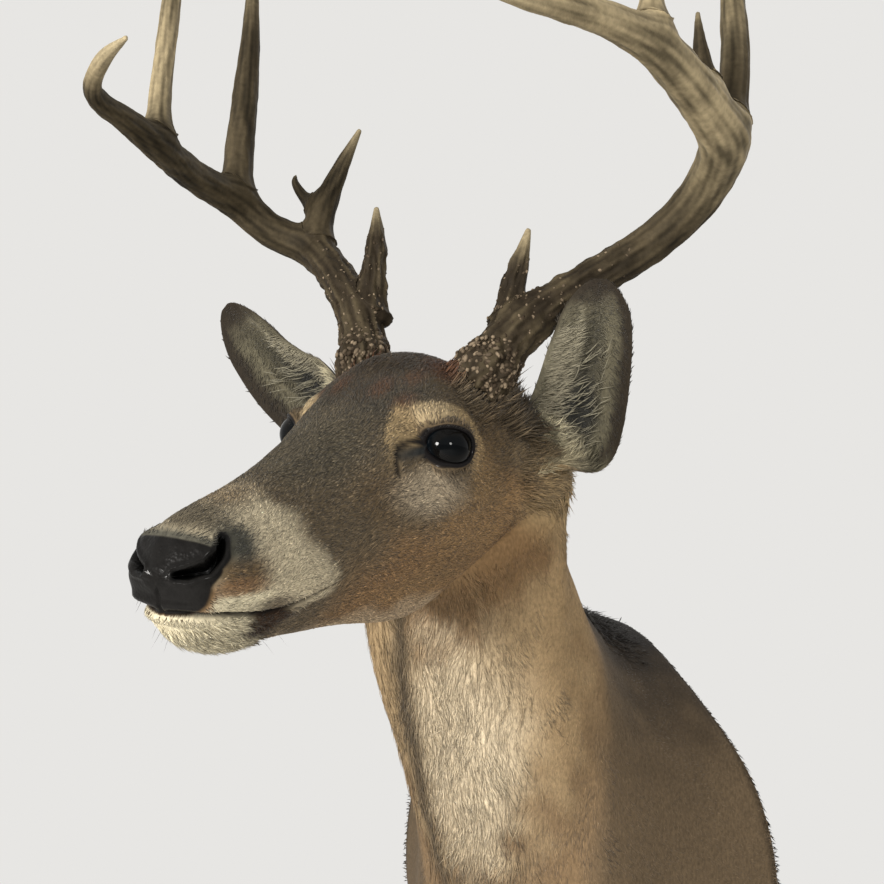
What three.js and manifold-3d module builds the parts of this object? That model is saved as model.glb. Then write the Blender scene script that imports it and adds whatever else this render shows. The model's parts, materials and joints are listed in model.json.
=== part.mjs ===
// A whitetail buck's shoulder mount at life size, in millimetres.
// The wall is the plane Y = 0 and the mount stands out of it towards -Y, with +Z up and +X the deer's left.
// The coat is included: every flesh solid reaches the tips of the hair.
import * as THREE from "three";
import { mergeVertices } from "three/addons/utils/BufferGeometryUtils.js";
import Module from "manifold-3d";

const wasm = await Module();
wasm.setup();

const GAP = 0.3; // between pieces that touch on the real mount
const RINGS = 40; // rings of the body, wall to nose
const AROUND = 32; // corners of each ring

// The head has its own frame: X forward out of the muzzle, Y to the deer's left, Z up, from the point between the eyes.
const EYE_POINT = new THREE.Vector3(-14, -390, 363);
const NOSE_DOWN = THREE.MathUtils.degToRad(9);
const HEAD_ROLL = THREE.MathUtils.degToRad(7); // the left side hangs lower

// Rings between the wall and the back of the head. Each has how far it is set to the deer's left, a top and a
// bottom point as [distance from the wall, height], then the half-widths 36, 72, 108 and 144 degrees round
// from the top.
const BODY_RINGS = [
  [0, [2, 251], [2, -251], 144, 185, 186, 150],
  [1, [45, 252], [100, -253], 125, 144, 138, 113],
  [-1, [92, 262], [172, -203], 106, 116, 104, 82],
  [-4, [134, 288], [200, -123], 93, 101, 84, 62],
  [-9, [170, 319], [207, -37], 84, 98, 78, 54],
  [-13, [203, 349], [224, 43], 80, 96, 85, 60],
  [-14, [234, 377], [254, 123], 80, 91, 86, 65],
  [-14, [260, 405], [282, 193], 83, 100, 82, 59],
];

// Rings of the head in its own frame: a top and a bottom point as [forward, up], then the same half-widths.
const HEAD_RINGS = [
  [[-116, 40], [-92, -106], 80, 103, 78, 51],
  [[-90, 57], [-70, -118], 69, 86, 66, 44],
  [[-58, 65], [-44, -124], 63, 71, 60, 38],
  [[-26, 63], [-18, -123], 63, 69, 59, 34],
  [[6, 53], [10, -119], 62, 69, 54, 30],
  [[38, 34], [38, -114], 50, 56, 48, 28],
  [[70, 14], [68, -109], 38, 43, 41, 27],
  [[104, -3], [100, -106], 30, 36, 38, 27],
  [[138, -17], [132, -105], 26, 35, 36, 27],
  [[164, -26], [158, -103], 26, 34, 33, 24],
  [[181, -33], [175, -97], 24, 31, 28, 20],
  [[191, -43], [188, -86], 17, 24, 23, 16],
  [[197, -56], [196, -68], 6, 8, 8, 6],
];

// Where the body is parted, in the plane of symmetry: a top and a bottom point of each cut.
const NECK_BASE_CUT = { top: [0, -112, 278], bottom: [0, -192, -167] };
const NECK_MIDDLE_CUT = { top: [0, -203, 349], bottom: [0, -226, 38] };
const SKULL_CUT = { top: [-120, 0, 36], bottom: [-72, 0, -118] };
const MUZZLE_CUT = { top: [80, 0, 12], bottom: [64, 0, -110] };
// The lower jaw and the nose pad, side on in the head's frame as [forward, up].
const LOWER_JAW = [[60, -140], [68, -104], [104, -79], [150, -82], [182, -79], [225, -78], [225, -140]];
const NOSE_PAD = [[178, -20], [181, -41], [189, -58], [192, -71], [230, -71], [230, -20]];
const NOSTRIL = { centre: [190, 19, -52], radii: [11, 4.5, 6] };

const EYE = { centre: [4, 54, 4], radius: 17, segments: 16 };

// Ears: the centre line from root to tip, the direction across the blade and the half-width at the widest.
const EAR_THICKNESS = 6;
const EAR_CUP = 0.42; // how far the rims stand forward of the middle, as a share of the half-width
const EARS = {
  ear_left: {
    line: [[-93, 78, -9], [-105, 105, 14], [-80, 122, 72], [-70, 126.5, 121]],
    across: [0.12, 0.98, -0.1],
    width: 37,
  },
  ear_right: {
    line: [[-90, -64, 2], [-100, -112, 27], [-92, -152, 54], [-74, -195, 102]],
    across: [-0.3, -0.6, -0.74],
    width: 41,
  },
};

// Antler centre lines in the head's frame, each point as [forward, left, up, radius].
const BEAM_LEFT = [
  [-50, 46, 42, 18], [-60, 55, 62, 18], [-72, 66, 83, 17], [-92, 84, 106, 15.5], [-115, 113, 132, 14.5],
  [-130, 144, 157, 14.5], [-125, 171, 180, 15], [-108, 189, 200, 15.5], [-80, 198, 212, 16],
  [-45, 191, 222, 14], [-8, 183, 229, 12.5], [28, 174, 233, 11], [65, 161, 231, 8.5], [98, 146, 227, 7.5],
  [122, 128, 226, 6], [140, 98, 233, 2],
];
const BEAM_RIGHT = [
  [-50, -44, 42, 17], [-60, -50, 68, 17], [-75, -69, 100, 15.5], [-95, -102, 131, 14.5], [-118, -142, 156, 15],
  [-105, -177, 172, 14.5], [-80, -195, 191, 14.5], [-30, -195, 198, 12.5], [28, -179, 204, 11],
  [65, -173, 210, 8.5], [92, -168, 213, 7], [108, -157, 217, 5.5], [122, -132, 225, 4.5], [138, -98, 226, 1.5],
];
// Where each beam is parted, as the share of its centre line's control points from root to tip.
const ANTLERS = {
  left: {
    beam: BEAM_LEFT,
    parts: [["burr", 0, 0.16], ["beam_lower", 0.16, 0.5], ["beam_middle", 0.5, 0.7], ["beam_tip", 0.7, 1]],
    tines: {
      brow_tine: [[-76, 58, 86, 11], [-80, 57, 109, 8.5], [-84, 61, 134, 7], [-88, 65, 161, 2]],
      tine_2: [[-80, 197, 208, 13], [-88, 200, 245, 10], [-95, 198, 280, 9], [-105, 191, 325, 7], [-116, 182, 392, 2]],
      sticker: [[-45, 190, 224, 8], [-45, 188, 245, 6.5], [-46, 185, 262, 4], [-48, 182, 281, 1.5]],
      tine_3: [[28, 174, 233, 8.5], [26, 172, 258, 6.5], [20, 171, 295, 5.5], [12, 168, 345, 1.8]],
    },
  },
  right: {
    beam: BEAM_RIGHT,
    parts: [["burr", 0, 0.16], ["beam_lower", 0.16, 0.4], ["beam_middle", 0.4, 0.69], ["beam_tip", 0.69, 1]],
    tines: {
      brow_tine: [[-74, -54, 90, 13], [-80, -57, 130, 9.5], [-84, -59, 156, 7], [-88, -63, 182, 2]],
      tine_2: [[-118, -138, 156, 13], [-122, -137, 187, 11], [-128, -125, 226, 7], [-132, -110, 260, 2]],
      tine_3: [[-80, -195, 191, 13], [-86, -199, 236, 12], [-95, -203, 289, 10.5], [-103, -208, 344, 7.5], [-116, -220, 430, 2]],
      tine_4: [[28, -179, 204, 10], [25, -182, 238, 8], [20, -184, 276, 7.3], [14, -186, 315, 6.5], [6, -188, 370, 2]],
    },
    sticker: [[-122, -137, 190, 8], [-124, -157, 203, 5.2], [-126, -169, 216, 3.5], [-128, -171, 224, 1.5]],
  },
};
const BURR_RIDGE = { share: 0.075, swell: 0.42, spread: 0.03 }; // the coronet: where it is, how much it swells
const BEAM_GAP = 0.0006; // between the pieces of a beam, as a share of its length
const BEAM_STEPS = 2; // rings per control point
const BEAM_SIDES = 9;

const BOARD = { thickness: 19, share: 0.9 }; // share of the skin's outline at the wall
const HANGER = { width: 62, height: 34, thickness: 2.5, up: 165, screwhead: 12, shank: 6 };

const COLOURS = {
  coat: 0x8a6a48, nose: 0x17130f, glass: 0x0d0a08, antler: 0x75603f, wood: 0xb48f60, steel: 0x9a9d9f,
};

// The head's own frame as a matrix: its axes and origin in the frame of the mount.
function headFrame() {
  const forward = new THREE.Vector3(0, -Math.cos(NOSE_DOWN), -Math.sin(NOSE_DOWN));
  const level = new THREE.Vector3(0, -Math.sin(NOSE_DOWN), Math.cos(NOSE_DOWN));
  const left = new THREE.Vector3(Math.cos(HEAD_ROLL), 0, 0).addScaledVector(level, -Math.sin(HEAD_ROLL));
  const up = new THREE.Vector3(Math.sin(HEAD_ROLL), 0, 0).addScaledVector(level, Math.cos(HEAD_ROLL));
  return new THREE.Matrix4().makeBasis(forward, left, up).setPosition(EYE_POINT);
}
const HEAD = headFrame();
const inHead = (point) => new THREE.Vector3(...point).applyMatrix4(HEAD);

// A smooth curve's value at share t of the way through a list of equally spaced values (Catmull-Rom).
function smooth(values, t) {
  const last = values.length - 1;
  const i = Math.min(Math.floor(t * last), last - 1);
  const u = t * last - i;
  const b = values[i];
  const c = values[i + 1];
  const a = i > 0 ? values[i - 1] : 2 * b - c;
  const d = i + 2 <= last ? values[i + 2] : 2 * c - b;
  return b + 0.5 * u * (c - a + u * (2 * a - 5 * b + 4 * c - d + u * (3 * (b - c) + d - a)));
}
const smoothRow = (rows, t) => rows[0].map((_, k) => smooth(rows.map((row) => row[k]), t));

// One station of the body as numbers: top x y z, bottom x y z, four half-widths, and the sideways direction.
function stationRows() {
  const rows = BODY_RINGS.map(([left, top, bottom, ...widths]) => [
    left, -top[0], top[1], left, -bottom[0], bottom[1], ...widths, 1, 0, 0,
  ]);
  const side = new THREE.Vector3(0, 1, 0).transformDirection(HEAD);
  for (const [top, bottom, ...widths] of HEAD_RINGS) {
    const a = inHead([top[0], 0, top[1]]);
    const b = inHead([bottom[0], 0, bottom[1]]);
    rows.push([...a, ...b, ...widths, ...side]);
  }
  return rows;
}
const STATIONS = stationRows();

// A point of the body's outline: t runs from the wall to the nose, and turn once round from the top.
function bodyPoint(t, turn) {
  const row = smoothRow(STATIONS, t);
  const angle = 2 * Math.PI * turn;
  const fromTop = Math.acos(Math.cos(angle)) / Math.PI;
  const width = smooth([row[6], ...row.slice(6, 10), row[9]], fromTop);
  const c = Math.cos(angle);
  const s = Math.sin(angle);
  const top = new THREE.Vector3(...row.slice(0, 3));
  const bottom = new THREE.Vector3(...row.slice(3, 6));
  const side = new THREE.Vector3(...row.slice(10, 13)).normalize();
  const rise = 0.5 + 0.5 * Math.sign(c) * Math.abs(c) ** 0.9;
  return bottom.lerp(top, rise).addScaledVector(side, width * Math.sign(s) * Math.abs(s) ** 0.8);
}

// A closed surface made of rings: the sphere's rows become the rings and its poles their end centres.
function ringSurface(around, rings, pointAt) {
  const shape = new THREE.SphereGeometry(1, around, rings + 1);
  const position = shape.attributes.position;
  const columns = around + 1;
  const centre = (ring) => {
    const sum = new THREE.Vector3();
    for (let k = 0; k < around; k++) sum.add(pointAt(ring / (rings - 1), k / around));
    return sum.divideScalar(around);
  };
  const ends = [centre(0), centre(rings - 1)];
  for (let i = 0; i < position.count; i++) {
    const row = Math.floor(i / columns);
    const k = i % columns;
    let point = row === 0 ? ends[0] : ends[1];
    if (row > 0 && row <= rings) point = pointAt((row - 1) / (rings - 1), (k % around) / around);
    position.setXYZ(i, point.x, point.y, point.z);
  }
  return shape;
}

// Geometry to a solid that can be cut, and back to geometry.
function solid(geometry) {
  const flat = geometry.index ? geometry.toNonIndexed() : geometry;
  const bare = new THREE.BufferGeometry().setAttribute("position", flat.attributes.position);
  const merged = mergeVertices(bare, 1e-3);
  const triangles = new Uint32Array(merged.index.array);
  const make = () =>
    new wasm.Manifold(
      new wasm.Mesh({ numProp: 3, vertProperties: merged.attributes.position.array, triVerts: triangles }),
    );
  const made = make();
  if (made.volume() > 0) return made;
  for (let i = 0; i < triangles.length; i += 3)
    [triangles[i + 1], triangles[i + 2]] = [triangles[i + 2], triangles[i + 1]];
  return make();
}
function geometryOf(body) {
  const mesh = body.getMesh();
  const corners = new Float32Array(mesh.numVert * 3);
  for (let i = 0; i < mesh.numVert; i++)
    for (let k = 0; k < 3; k++) corners[3 * i + k] = mesh.vertProperties[i * mesh.numProp + k];
  const shape = new THREE.BufferGeometry().setAttribute("position", new THREE.BufferAttribute(corners, 3));
  shape.setIndex([...mesh.triVerts]);
  const flat = shape.toNonIndexed();
  flat.computeVertexNormals();
  return flat;
}

// A round tube along a smooth line of [x, y, z, radius] points in the head's frame, closed by flat ends.
// grow makes it that much fatter, and a share of the line at each end can be left off.
function tube(line, { from = 0, to = 1, sides = BEAM_SIDES, grow = 0, swell = () => 1 } = {}) {
  const steps = Math.max(3, Math.ceil((line.length - 1) * BEAM_STEPS * (to - from)) + 1);
  const frames = [];
  let across = new THREE.Vector3(1, 0, 0);
  for (let i = 0; i < steps; i++) {
    const t = from + ((to - from) * i) / (steps - 1);
    const row = smoothRow(line, t);
    const before = smoothRow(line, Math.max(0, t - 0.01));
    const after = smoothRow(line, Math.min(1, t + 0.01));
    const along = new THREE.Vector3(after[0] - before[0], after[1] - before[1], after[2] - before[2]).normalize();
    across = across.clone().addScaledVector(along, -across.dot(along)).normalize();
    frames.push({ t, row, across, over: new THREE.Vector3().crossVectors(along, across) });
  }
  const pointAt = (share, turn) => {
    const { t, row, across: u, over: v } = frames[Math.round(share * (steps - 1))];
    const radius = row[3] * swell(t) + grow;
    const angle = 2 * Math.PI * turn;
    return new THREE.Vector3(row[0], row[1], row[2])
      .addScaledVector(u, radius * Math.cos(angle))
      .addScaledVector(v, radius * Math.sin(angle));
  };
  return solid(ringSurface(sides, steps, pointAt)).transform([...HEAD.elements]);
}

// The largest of the bodies that a cut has left.
const largest = (cut) => cut.decompose().sort((a, b) => b.volume() - a.volume())[0];

// A prism through the head: an outline side on in the head's frame, grown by the gap, all the way across.
function sideCutter(outline, grow = 0) {
  const middle = outline.reduce((sum, p) => [sum[0] + p[0] / outline.length, sum[1] + p[1] / outline.length], [0, 0]);
  const shape = new THREE.Shape(
    outline.map(([x, z]) => {
      const away = new THREE.Vector2(x - middle[0], z - middle[1]);
      away.setLength(away.length() + grow);
      return new THREE.Vector2(middle[0] + away.x, middle[1] + away.y);
    }),
  );
  const prism = new THREE.ExtrudeGeometry(shape, { depth: 200, bevelEnabled: false });
  prism.rotateX(Math.PI / 2).translate(0, 100, 0).applyMatrix4(HEAD);
  return solid(prism);
}

// The part of a body on the nose's side of a cut, or on the wall's side, half the gap away from it.
function beyond(body, cut, toNose, frame = new THREE.Matrix4(), side = new THREE.Vector3(1, 0, 0)) {
  const top = new THREE.Vector3(...cut.top).applyMatrix4(frame);
  const bottom = new THREE.Vector3(...cut.bottom).applyMatrix4(frame);
  const normal = top.clone().sub(bottom).cross(side).normalize();
  if (normal.y > 0) normal.negate();
  const offset = normal.dot(top);
  if (toNose) return body.trimByPlane([...normal], offset + GAP / 2);
  return body.trimByPlane([...normal.negate()], -offset + GAP / 2);
}

const parts = new THREE.Group();
parts.name = "deer_shoulder_mount";
function add(name, body, colour, roughness, metalness = 0) {
  const material = new THREE.MeshStandardMaterial({ color: colour, roughness, metalness });
  const mesh = new THREE.Mesh(geometryOf(body), material);
  mesh.name = name;
  parts.add(mesh);
}

// A blade of an ear: s runs across it from -1 to 1, t from root to tip, and face is 1 on the cupped side.
function earPoint(ear, t, s, face) {
  const line = ear.line.map((p) => [...p]);
  const [x, y, z] = smoothRow(line, t);
  const ahead = smoothRow(line, Math.min(1, t + 0.02));
  const behind = smoothRow(line, Math.max(0, t - 0.02));
  const along = new THREE.Vector3(ahead[0] - behind[0], ahead[1] - behind[1], ahead[2] - behind[2]).normalize();
  const across = new THREE.Vector3(...ear.across);
  across.addScaledVector(along, -across.dot(along)).normalize();
  const open = new THREE.Vector3().crossVectors(along, across);
  if (open.x < 0) open.negate();
  const halfWidth = ear.width * smooth([0.64, 1, 1.06, 1, 0.91, 0.76, 0.42], t);
  const curl = EAR_CUP * (1.6 - t);
  const thick = EAR_THICKNESS * Math.sqrt(Math.max(0, 1 - s * s)) * 0.5 + 0.6;
  const bend = halfWidth * curl * (s * s - 0.35) + face * thick;
  return new THREE.Vector3(x, y, z)
    .addScaledVector(across, halfWidth * s * (1 - 0.12 * curl * s * s))
    .addScaledVector(open, bend);
}
function earSolid(ear) {
  const sides = 16;
  const pointAt = (t, turn) => {
    const angle = 2 * Math.PI * turn;
    return earPoint(ear, 1 - (1 - t) ** 1.35, -Math.cos(angle), Math.sign(Math.round(1e6 * Math.sin(angle))));
  };
  return solid(ringSurface(sides, 11, pointAt)).transform([...HEAD.elements]);
}

// The body in one piece, then what is let into it.
const body = solid(ringSurface(AROUND, RINGS, bodyPoint));
const eyeAt = (sign, radius, segments) => {
  const [x, y, z] = EYE.centre;
  const ball = new THREE.SphereGeometry(radius, segments, segments / 2);
  ball.rotateX(Math.PI / 2).translate(x, sign * y, z).applyMatrix4(HEAD);
  return solid(ball);
};
const nostrilAt = (sign) => {
  const pit = new THREE.SphereGeometry(1, 10, 8).scale(...NOSTRIL.radii);
  pit.rotateZ(sign * 0.5).translate(NOSTRIL.centre[0], sign * NOSTRIL.centre[1], NOSTRIL.centre[2]);
  return solid(pit.applyMatrix4(HEAD));
};

// Back board: the body's outline at the wall, drawn in, with a hanger plate let in flush with its back.
function boardPrism(share, depth) {
  const outline = [];
  const middle = 0.5 * (BODY_RINGS[0][1][1] + BODY_RINGS[0][2][1]);
  for (let k = 0; k < AROUND; k++) {
    const p = bodyPoint(0, k / AROUND);
    outline.push(new THREE.Vector2(p.x * share, middle + (p.z - middle) * share));
  }
  const prism = new THREE.ExtrudeGeometry(new THREE.Shape(outline), { depth, bevelEnabled: false });
  return solid(prism.rotateX(Math.PI / 2));
}
function box(width, height, depth, up, behind = 0) {
  const shape = new THREE.BoxGeometry(width, depth + behind, height);
  return solid(shape.translate(0, (behind - depth) / 2, up));
}
function hangerSolid() {
  const plate = box(HANGER.width, HANGER.height, HANGER.thickness, HANGER.up);
  const hole = new THREE.CylinderGeometry(HANGER.screwhead / 2, HANGER.screwhead / 2, 20, 20);
  const slot = new THREE.BoxGeometry(HANGER.shank, 20, HANGER.screwhead);
  return plate
    .subtract(solid(hole.translate(0, 0, HANGER.up - 6)))
    .subtract(solid(slot.translate(0, 0, HANGER.up + 2)));
}
const pocket = boardPrism(BOARD.share, BOARD.thickness + GAP).add(boardPrism(BOARD.share + 0.002, BOARD.thickness + GAP));
const hanger = hangerSolid();
const hangerRecess = box(HANGER.width + 2 * GAP, HANGER.height + 2 * GAP, HANGER.thickness + 8, HANGER.up, 5);
add("back_board", boardPrism(BOARD.share, BOARD.thickness).subtract(hangerRecess), COLOURS.wood, 0.7);
add("hanger_plate", hanger, COLOURS.steel, 0.35, 0.9);

// Antlers: beams in pieces end to end, and tines with their feet hollowed to the beam they stand on.
const antlerRoots = [];
for (const [side, antler] of Object.entries(ANTLERS)) {
  const swell = (t) => 1 + BURR_RIDGE.swell * Math.exp(-(((t - BURR_RIDGE.share) / BURR_RIDGE.spread) ** 2));
  let clear = null; // the whole beam, fatter by the gap
  for (const [name, from, to] of antler.parts) {
    const start = from > 0 ? from + BEAM_GAP : 0;
    add(`antler_${side}_${name}`, tube(antler.beam, { from: start, to, swell }), COLOURS.antler, 0.55);
    const fatter = tube(antler.beam, { from: start, to, swell, grow: GAP });
    if (!clear) antlerRoots.push(fatter);
    clear = clear ? clear.add(fatter) : fatter;
  }
  for (const [name, line] of Object.entries(antler.tines))
    add(`antler_${side}_${name}`, largest(tube(line, { sides: 8 }).subtract(clear)), COLOURS.antler, 0.5);
  if (antler.sticker) {
    const stem = tube(antler.tines.tine_2, { sides: 8, grow: GAP });
    const sticker = tube(antler.sticker, { sides: 7 }).subtract(stem).subtract(clear);
    add(`antler_${side}_sticker`, largest(sticker), COLOURS.antler, 0.5);
  }
}

// Ears stand on the head, cut clear of the body grown by the gap away from the middle of each of its rings.
const grownBody = solid(
  ringSurface(AROUND, RINGS, (t, turn) => {
    const middle = bodyPoint(t, 0).lerp(bodyPoint(t, 0.5), 0.5);
    const point = bodyPoint(t, turn);
    return point.add(point.clone().sub(middle).setLength(GAP));
  }),
);
for (const [name, ear] of Object.entries(EARS)) add(name, largest(earSolid(ear).subtract(grownBody)), COLOURS.coat, 0.85);

// The flesh, parted by thin cuts.
let flesh = body.subtract(pocket);
for (const root of antlerRoots) flesh = flesh.subtract(root);
const side = new THREE.Vector3(0, 1, 0).transformDirection(HEAD);
const beyondNeck = beyond(flesh, NECK_BASE_CUT, true);
add("trunk", beyond(flesh, NECK_BASE_CUT, false), COLOURS.coat, 0.9);
add("neck_lower", beyond(beyondNeck, NECK_MIDDLE_CUT, false), COLOURS.coat, 0.9);
const upper = beyond(beyondNeck, NECK_MIDDLE_CUT, true);
add("neck_upper", beyond(upper, SKULL_CUT, false, HEAD, side), COLOURS.coat, 0.9);
const skull = beyond(upper, SKULL_CUT, true, HEAD, side);
let head = beyond(skull, MUZZLE_CUT, false, HEAD, side);
for (const sign of [1, -1]) head = head.subtract(eyeAt(sign, EYE.radius + GAP, EYE.segments));
add("head", head, COLOURS.coat, 0.9);
add("eye_left", eyeAt(1, EYE.radius, EYE.segments), COLOURS.glass, 0.05);
add("eye_right", eyeAt(-1, EYE.radius, EYE.segments), COLOURS.glass, 0.05);
const front = beyond(skull, MUZZLE_CUT, true, HEAD, side);
add("lower_jaw", front.intersect(sideCutter(LOWER_JAW)), COLOURS.coat, 0.9);
const snout = front.subtract(sideCutter(LOWER_JAW, GAP));
let pad = snout.intersect(sideCutter(NOSE_PAD));
for (const sign of [1, -1]) pad = pad.subtract(nostrilAt(sign));
add("nose_pad", pad, COLOURS.nose, 0.35);
add("muzzle", snout.subtract(sideCutter(NOSE_PAD, GAP)), COLOURS.coat, 0.9);

export default parts;
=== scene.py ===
# %% [markdown]
# # A whitetail buck's shoulder mount
# The mount is a tanned hide over a foam form, with the buck's own antlers and glass eyes, on a plywood
# back board. The solids of the frame already hold every size. This lesson puts one skin where the flesh
# solids are, then eyes, lids, antlers and a coat of small solid tufts, all as surfaces worked out with numpy.

import json

import bpy
import numpy as np
from mathutils import Matrix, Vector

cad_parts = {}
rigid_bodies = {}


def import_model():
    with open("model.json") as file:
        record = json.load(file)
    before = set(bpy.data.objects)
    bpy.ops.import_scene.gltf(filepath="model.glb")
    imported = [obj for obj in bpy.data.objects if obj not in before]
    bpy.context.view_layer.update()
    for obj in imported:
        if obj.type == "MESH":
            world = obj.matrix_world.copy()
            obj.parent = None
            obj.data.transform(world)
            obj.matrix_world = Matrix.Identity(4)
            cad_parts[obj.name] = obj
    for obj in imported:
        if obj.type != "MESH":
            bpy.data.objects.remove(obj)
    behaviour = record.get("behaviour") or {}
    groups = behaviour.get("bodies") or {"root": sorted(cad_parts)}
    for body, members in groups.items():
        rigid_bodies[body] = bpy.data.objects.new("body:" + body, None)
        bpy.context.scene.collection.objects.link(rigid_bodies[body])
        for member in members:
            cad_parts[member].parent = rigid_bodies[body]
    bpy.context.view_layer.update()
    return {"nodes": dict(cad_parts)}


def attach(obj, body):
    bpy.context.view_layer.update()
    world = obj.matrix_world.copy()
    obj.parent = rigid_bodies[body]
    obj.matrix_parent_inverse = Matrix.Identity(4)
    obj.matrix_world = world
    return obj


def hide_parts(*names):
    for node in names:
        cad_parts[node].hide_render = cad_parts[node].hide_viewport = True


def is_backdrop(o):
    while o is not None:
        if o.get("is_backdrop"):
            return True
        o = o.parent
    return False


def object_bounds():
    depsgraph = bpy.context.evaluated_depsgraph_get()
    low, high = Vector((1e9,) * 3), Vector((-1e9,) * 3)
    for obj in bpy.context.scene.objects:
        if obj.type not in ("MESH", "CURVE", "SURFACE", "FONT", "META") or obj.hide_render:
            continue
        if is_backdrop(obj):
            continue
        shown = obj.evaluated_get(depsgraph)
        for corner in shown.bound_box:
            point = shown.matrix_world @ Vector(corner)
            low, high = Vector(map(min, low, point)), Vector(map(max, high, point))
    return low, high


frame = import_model()
MM = 0.001  # everything below is worked out in millimetres
scene = bpy.context.scene

# %% [markdown]
# ## Helpers for meshes
# A piece could be built with Blender's operators, one change at a time. Here each piece is a table of
# points and a table of faces instead, because a formula gives the same shape on every run and a whole
# table goes into a mesh at once. The helper also stores named colours and maps on the points.


# %% Mesh helpers
def make_piece(name, points, faces, tint=None, maps=None):
    """A mesh object from points in millimetres and faces of one size, as index rows.
    tint is a colour for each point. maps holds a (u, v) for each corner of each face."""
    faces = np.asarray(faces, dtype=np.int32)
    sides = faces.shape[1]
    mesh = bpy.data.meshes.new(name)
    mesh.vertices.add(len(points))
    mesh.vertices.foreach_set("co", (np.asarray(points) * MM).astype(np.float32).ravel())
    mesh.loops.add(faces.size)
    mesh.loops.foreach_set("vertex_index", faces.ravel())
    mesh.polygons.add(len(faces))
    mesh.polygons.foreach_set("loop_start", np.arange(len(faces), dtype=np.int32) * sides)
    mesh.polygons.foreach_set("use_smooth", np.full(len(faces), True))
    for title, places in (maps or {}).items():
        layer = mesh.uv_layers.new(name=title)
        layer.uv.foreach_set("vector", np.asarray(places, dtype=np.float32).ravel())
    if tint is not None:
        colours = np.ones((len(points), 4), dtype=np.float32)
        colours[:, :3] = np.clip(tint, 0, 1)
        layer = mesh.color_attributes.new("tint", "FLOAT_COLOR", "POINT")
        layer.data.foreach_set("color", colours.ravel())
    mesh.update(calc_edges=True)
    mesh.validate()
    piece = bpy.data.objects.new(name, mesh)
    scene.collection.objects.link(piece)
    return piece


def grid_faces(rows, columns, first=0, wrap=True):
    """Quads between the rows of a grid of points, row after row, all the way round if it wraps."""
    r = np.arange(rows - 1)[:, None]
    c = np.arange(columns if wrap else columns - 1)[None, :]
    after = (c + 1) % columns
    here, beyond = r * columns, (r + 1) * columns
    return (first + np.stack([here + c, here + after, beyond + after, beyond + c], axis=-1)).reshape(-1, 4)


def halves(quads):
    """Each quad as two triangles: all the first halves, then all the second."""
    return np.concatenate([quads[:, [0, 1, 2]], quads[:, [0, 2, 3]]])


def unit(vectors):
    """Each vector at length one."""
    return vectors / np.maximum(np.linalg.norm(vectors, axis=-1, keepdims=True), 1e-9)


def ramp(value, start, end):
    """0 before start, 1 after end, and a smooth step between them."""
    x = np.clip((value - start) / (end - start), 0, 1)
    return x * x * (3 - 2 * x)


def blend(colour, other, share):
    """Colours moved towards another colour by a share for each point."""
    return colour + (np.asarray(other) - colour) * np.asarray(share)[..., None]


def flat(tone, shape):
    """One colour for every place of a table of points."""
    return np.broadcast_to(np.array(tone), shape)


def hump(value, middle, width):
    """exp(-((value - middle) / width)^2): 1 at the middle and nothing far from it."""
    return np.exp(-(((value - middle) / width) ** 2))


def waves(points, size, seed, count=20):
    """Soft lumps of about that size: the mean of sine waves in seeded directions, within about -1 and 1."""
    rng = np.random.default_rng(seed)
    way = unit(rng.normal(size=(count, 3))) * (2 * np.pi / size) * rng.uniform(0.6, 1.5, (count, 1))
    return np.sin(points @ way.T + rng.uniform(0, 2 * np.pi, count)).sum(axis=-1) / np.sqrt(count)


def aimed(right, up, back, place):
    """A turn and a place as one matrix, from the three directions as columns."""
    return Matrix(np.vstack([np.column_stack([right, up, back, place]), [0, 0, 0, 1]]).tolist())


print("helpers ready")

# %% [markdown]
# ## The head's own frame and the body's stations
# The head turns down by nine degrees and leans seven to its left, so its sizes are kept in a frame of its
# own: forward out of the muzzle, left and up, from the point between the eyes. The body is measured as
# twenty-one stations from the wall to the nose, each a top, a bottom and four half-widths, as the frame has
# them.

# %% Stations
EYE_POINT = np.array([-14.0, -390.0, 363.0])
NOSE_DOWN, HEAD_ROLL = np.radians(9), np.radians(7)
FORWARD = np.array([0, -np.cos(NOSE_DOWN), -np.sin(NOSE_DOWN)])
LEVEL = np.array([0, -np.sin(NOSE_DOWN), np.cos(NOSE_DOWN)])
LEFT = np.array([np.cos(HEAD_ROLL), 0, 0]) - np.sin(HEAD_ROLL) * LEVEL
UP = np.array([np.sin(HEAD_ROLL), 0, 0]) + np.cos(HEAD_ROLL) * LEVEL
HEAD_AXES = np.array([FORWARD, LEFT, UP])

BODY_RINGS = [
    [0, [2, 251], [2, -251], 144, 185, 186, 150],
    [1, [45, 252], [100, -253], 125, 144, 138, 113],
    [-1, [92, 262], [172, -203], 106, 116, 104, 82],
    [-4, [134, 288], [200, -123], 93, 101, 84, 62],
    [-9, [170, 319], [207, -37], 84, 98, 78, 54],
    [-13, [203, 349], [224, 43], 80, 96, 85, 60],
    [-14, [234, 377], [254, 123], 80, 91, 86, 65],
    [-14, [260, 405], [282, 193], 83, 100, 82, 59],
]
HEAD_RINGS = [
    [[-116, 40], [-92, -106], 80, 103, 78, 51],
    [[-90, 57], [-70, -118], 69, 86, 66, 44],
    [[-58, 65], [-44, -124], 63, 71, 60, 38],
    [[-26, 63], [-18, -123], 63, 69, 59, 34],
    [[6, 53], [10, -119], 62, 69, 54, 30],
    [[38, 34], [38, -114], 50, 56, 48, 28],
    [[70, 14], [68, -109], 38, 43, 41, 27],
    [[104, -3], [100, -106], 30, 36, 38, 27],
    [[138, -17], [132, -105], 26, 35, 36, 27],
    [[164, -26], [158, -103], 26, 34, 33, 24],
    [[181, -33], [175, -97], 24, 31, 28, 20],
    [[191, -43], [188, -86], 17, 24, 23, 16],
    [[197, -56], [196, -68], 6, 8, 8, 6],
]


def in_head(points):
    """Points of the mount as forward, left and up in the head's frame."""
    return (points - EYE_POINT) @ HEAD_AXES.T


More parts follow.
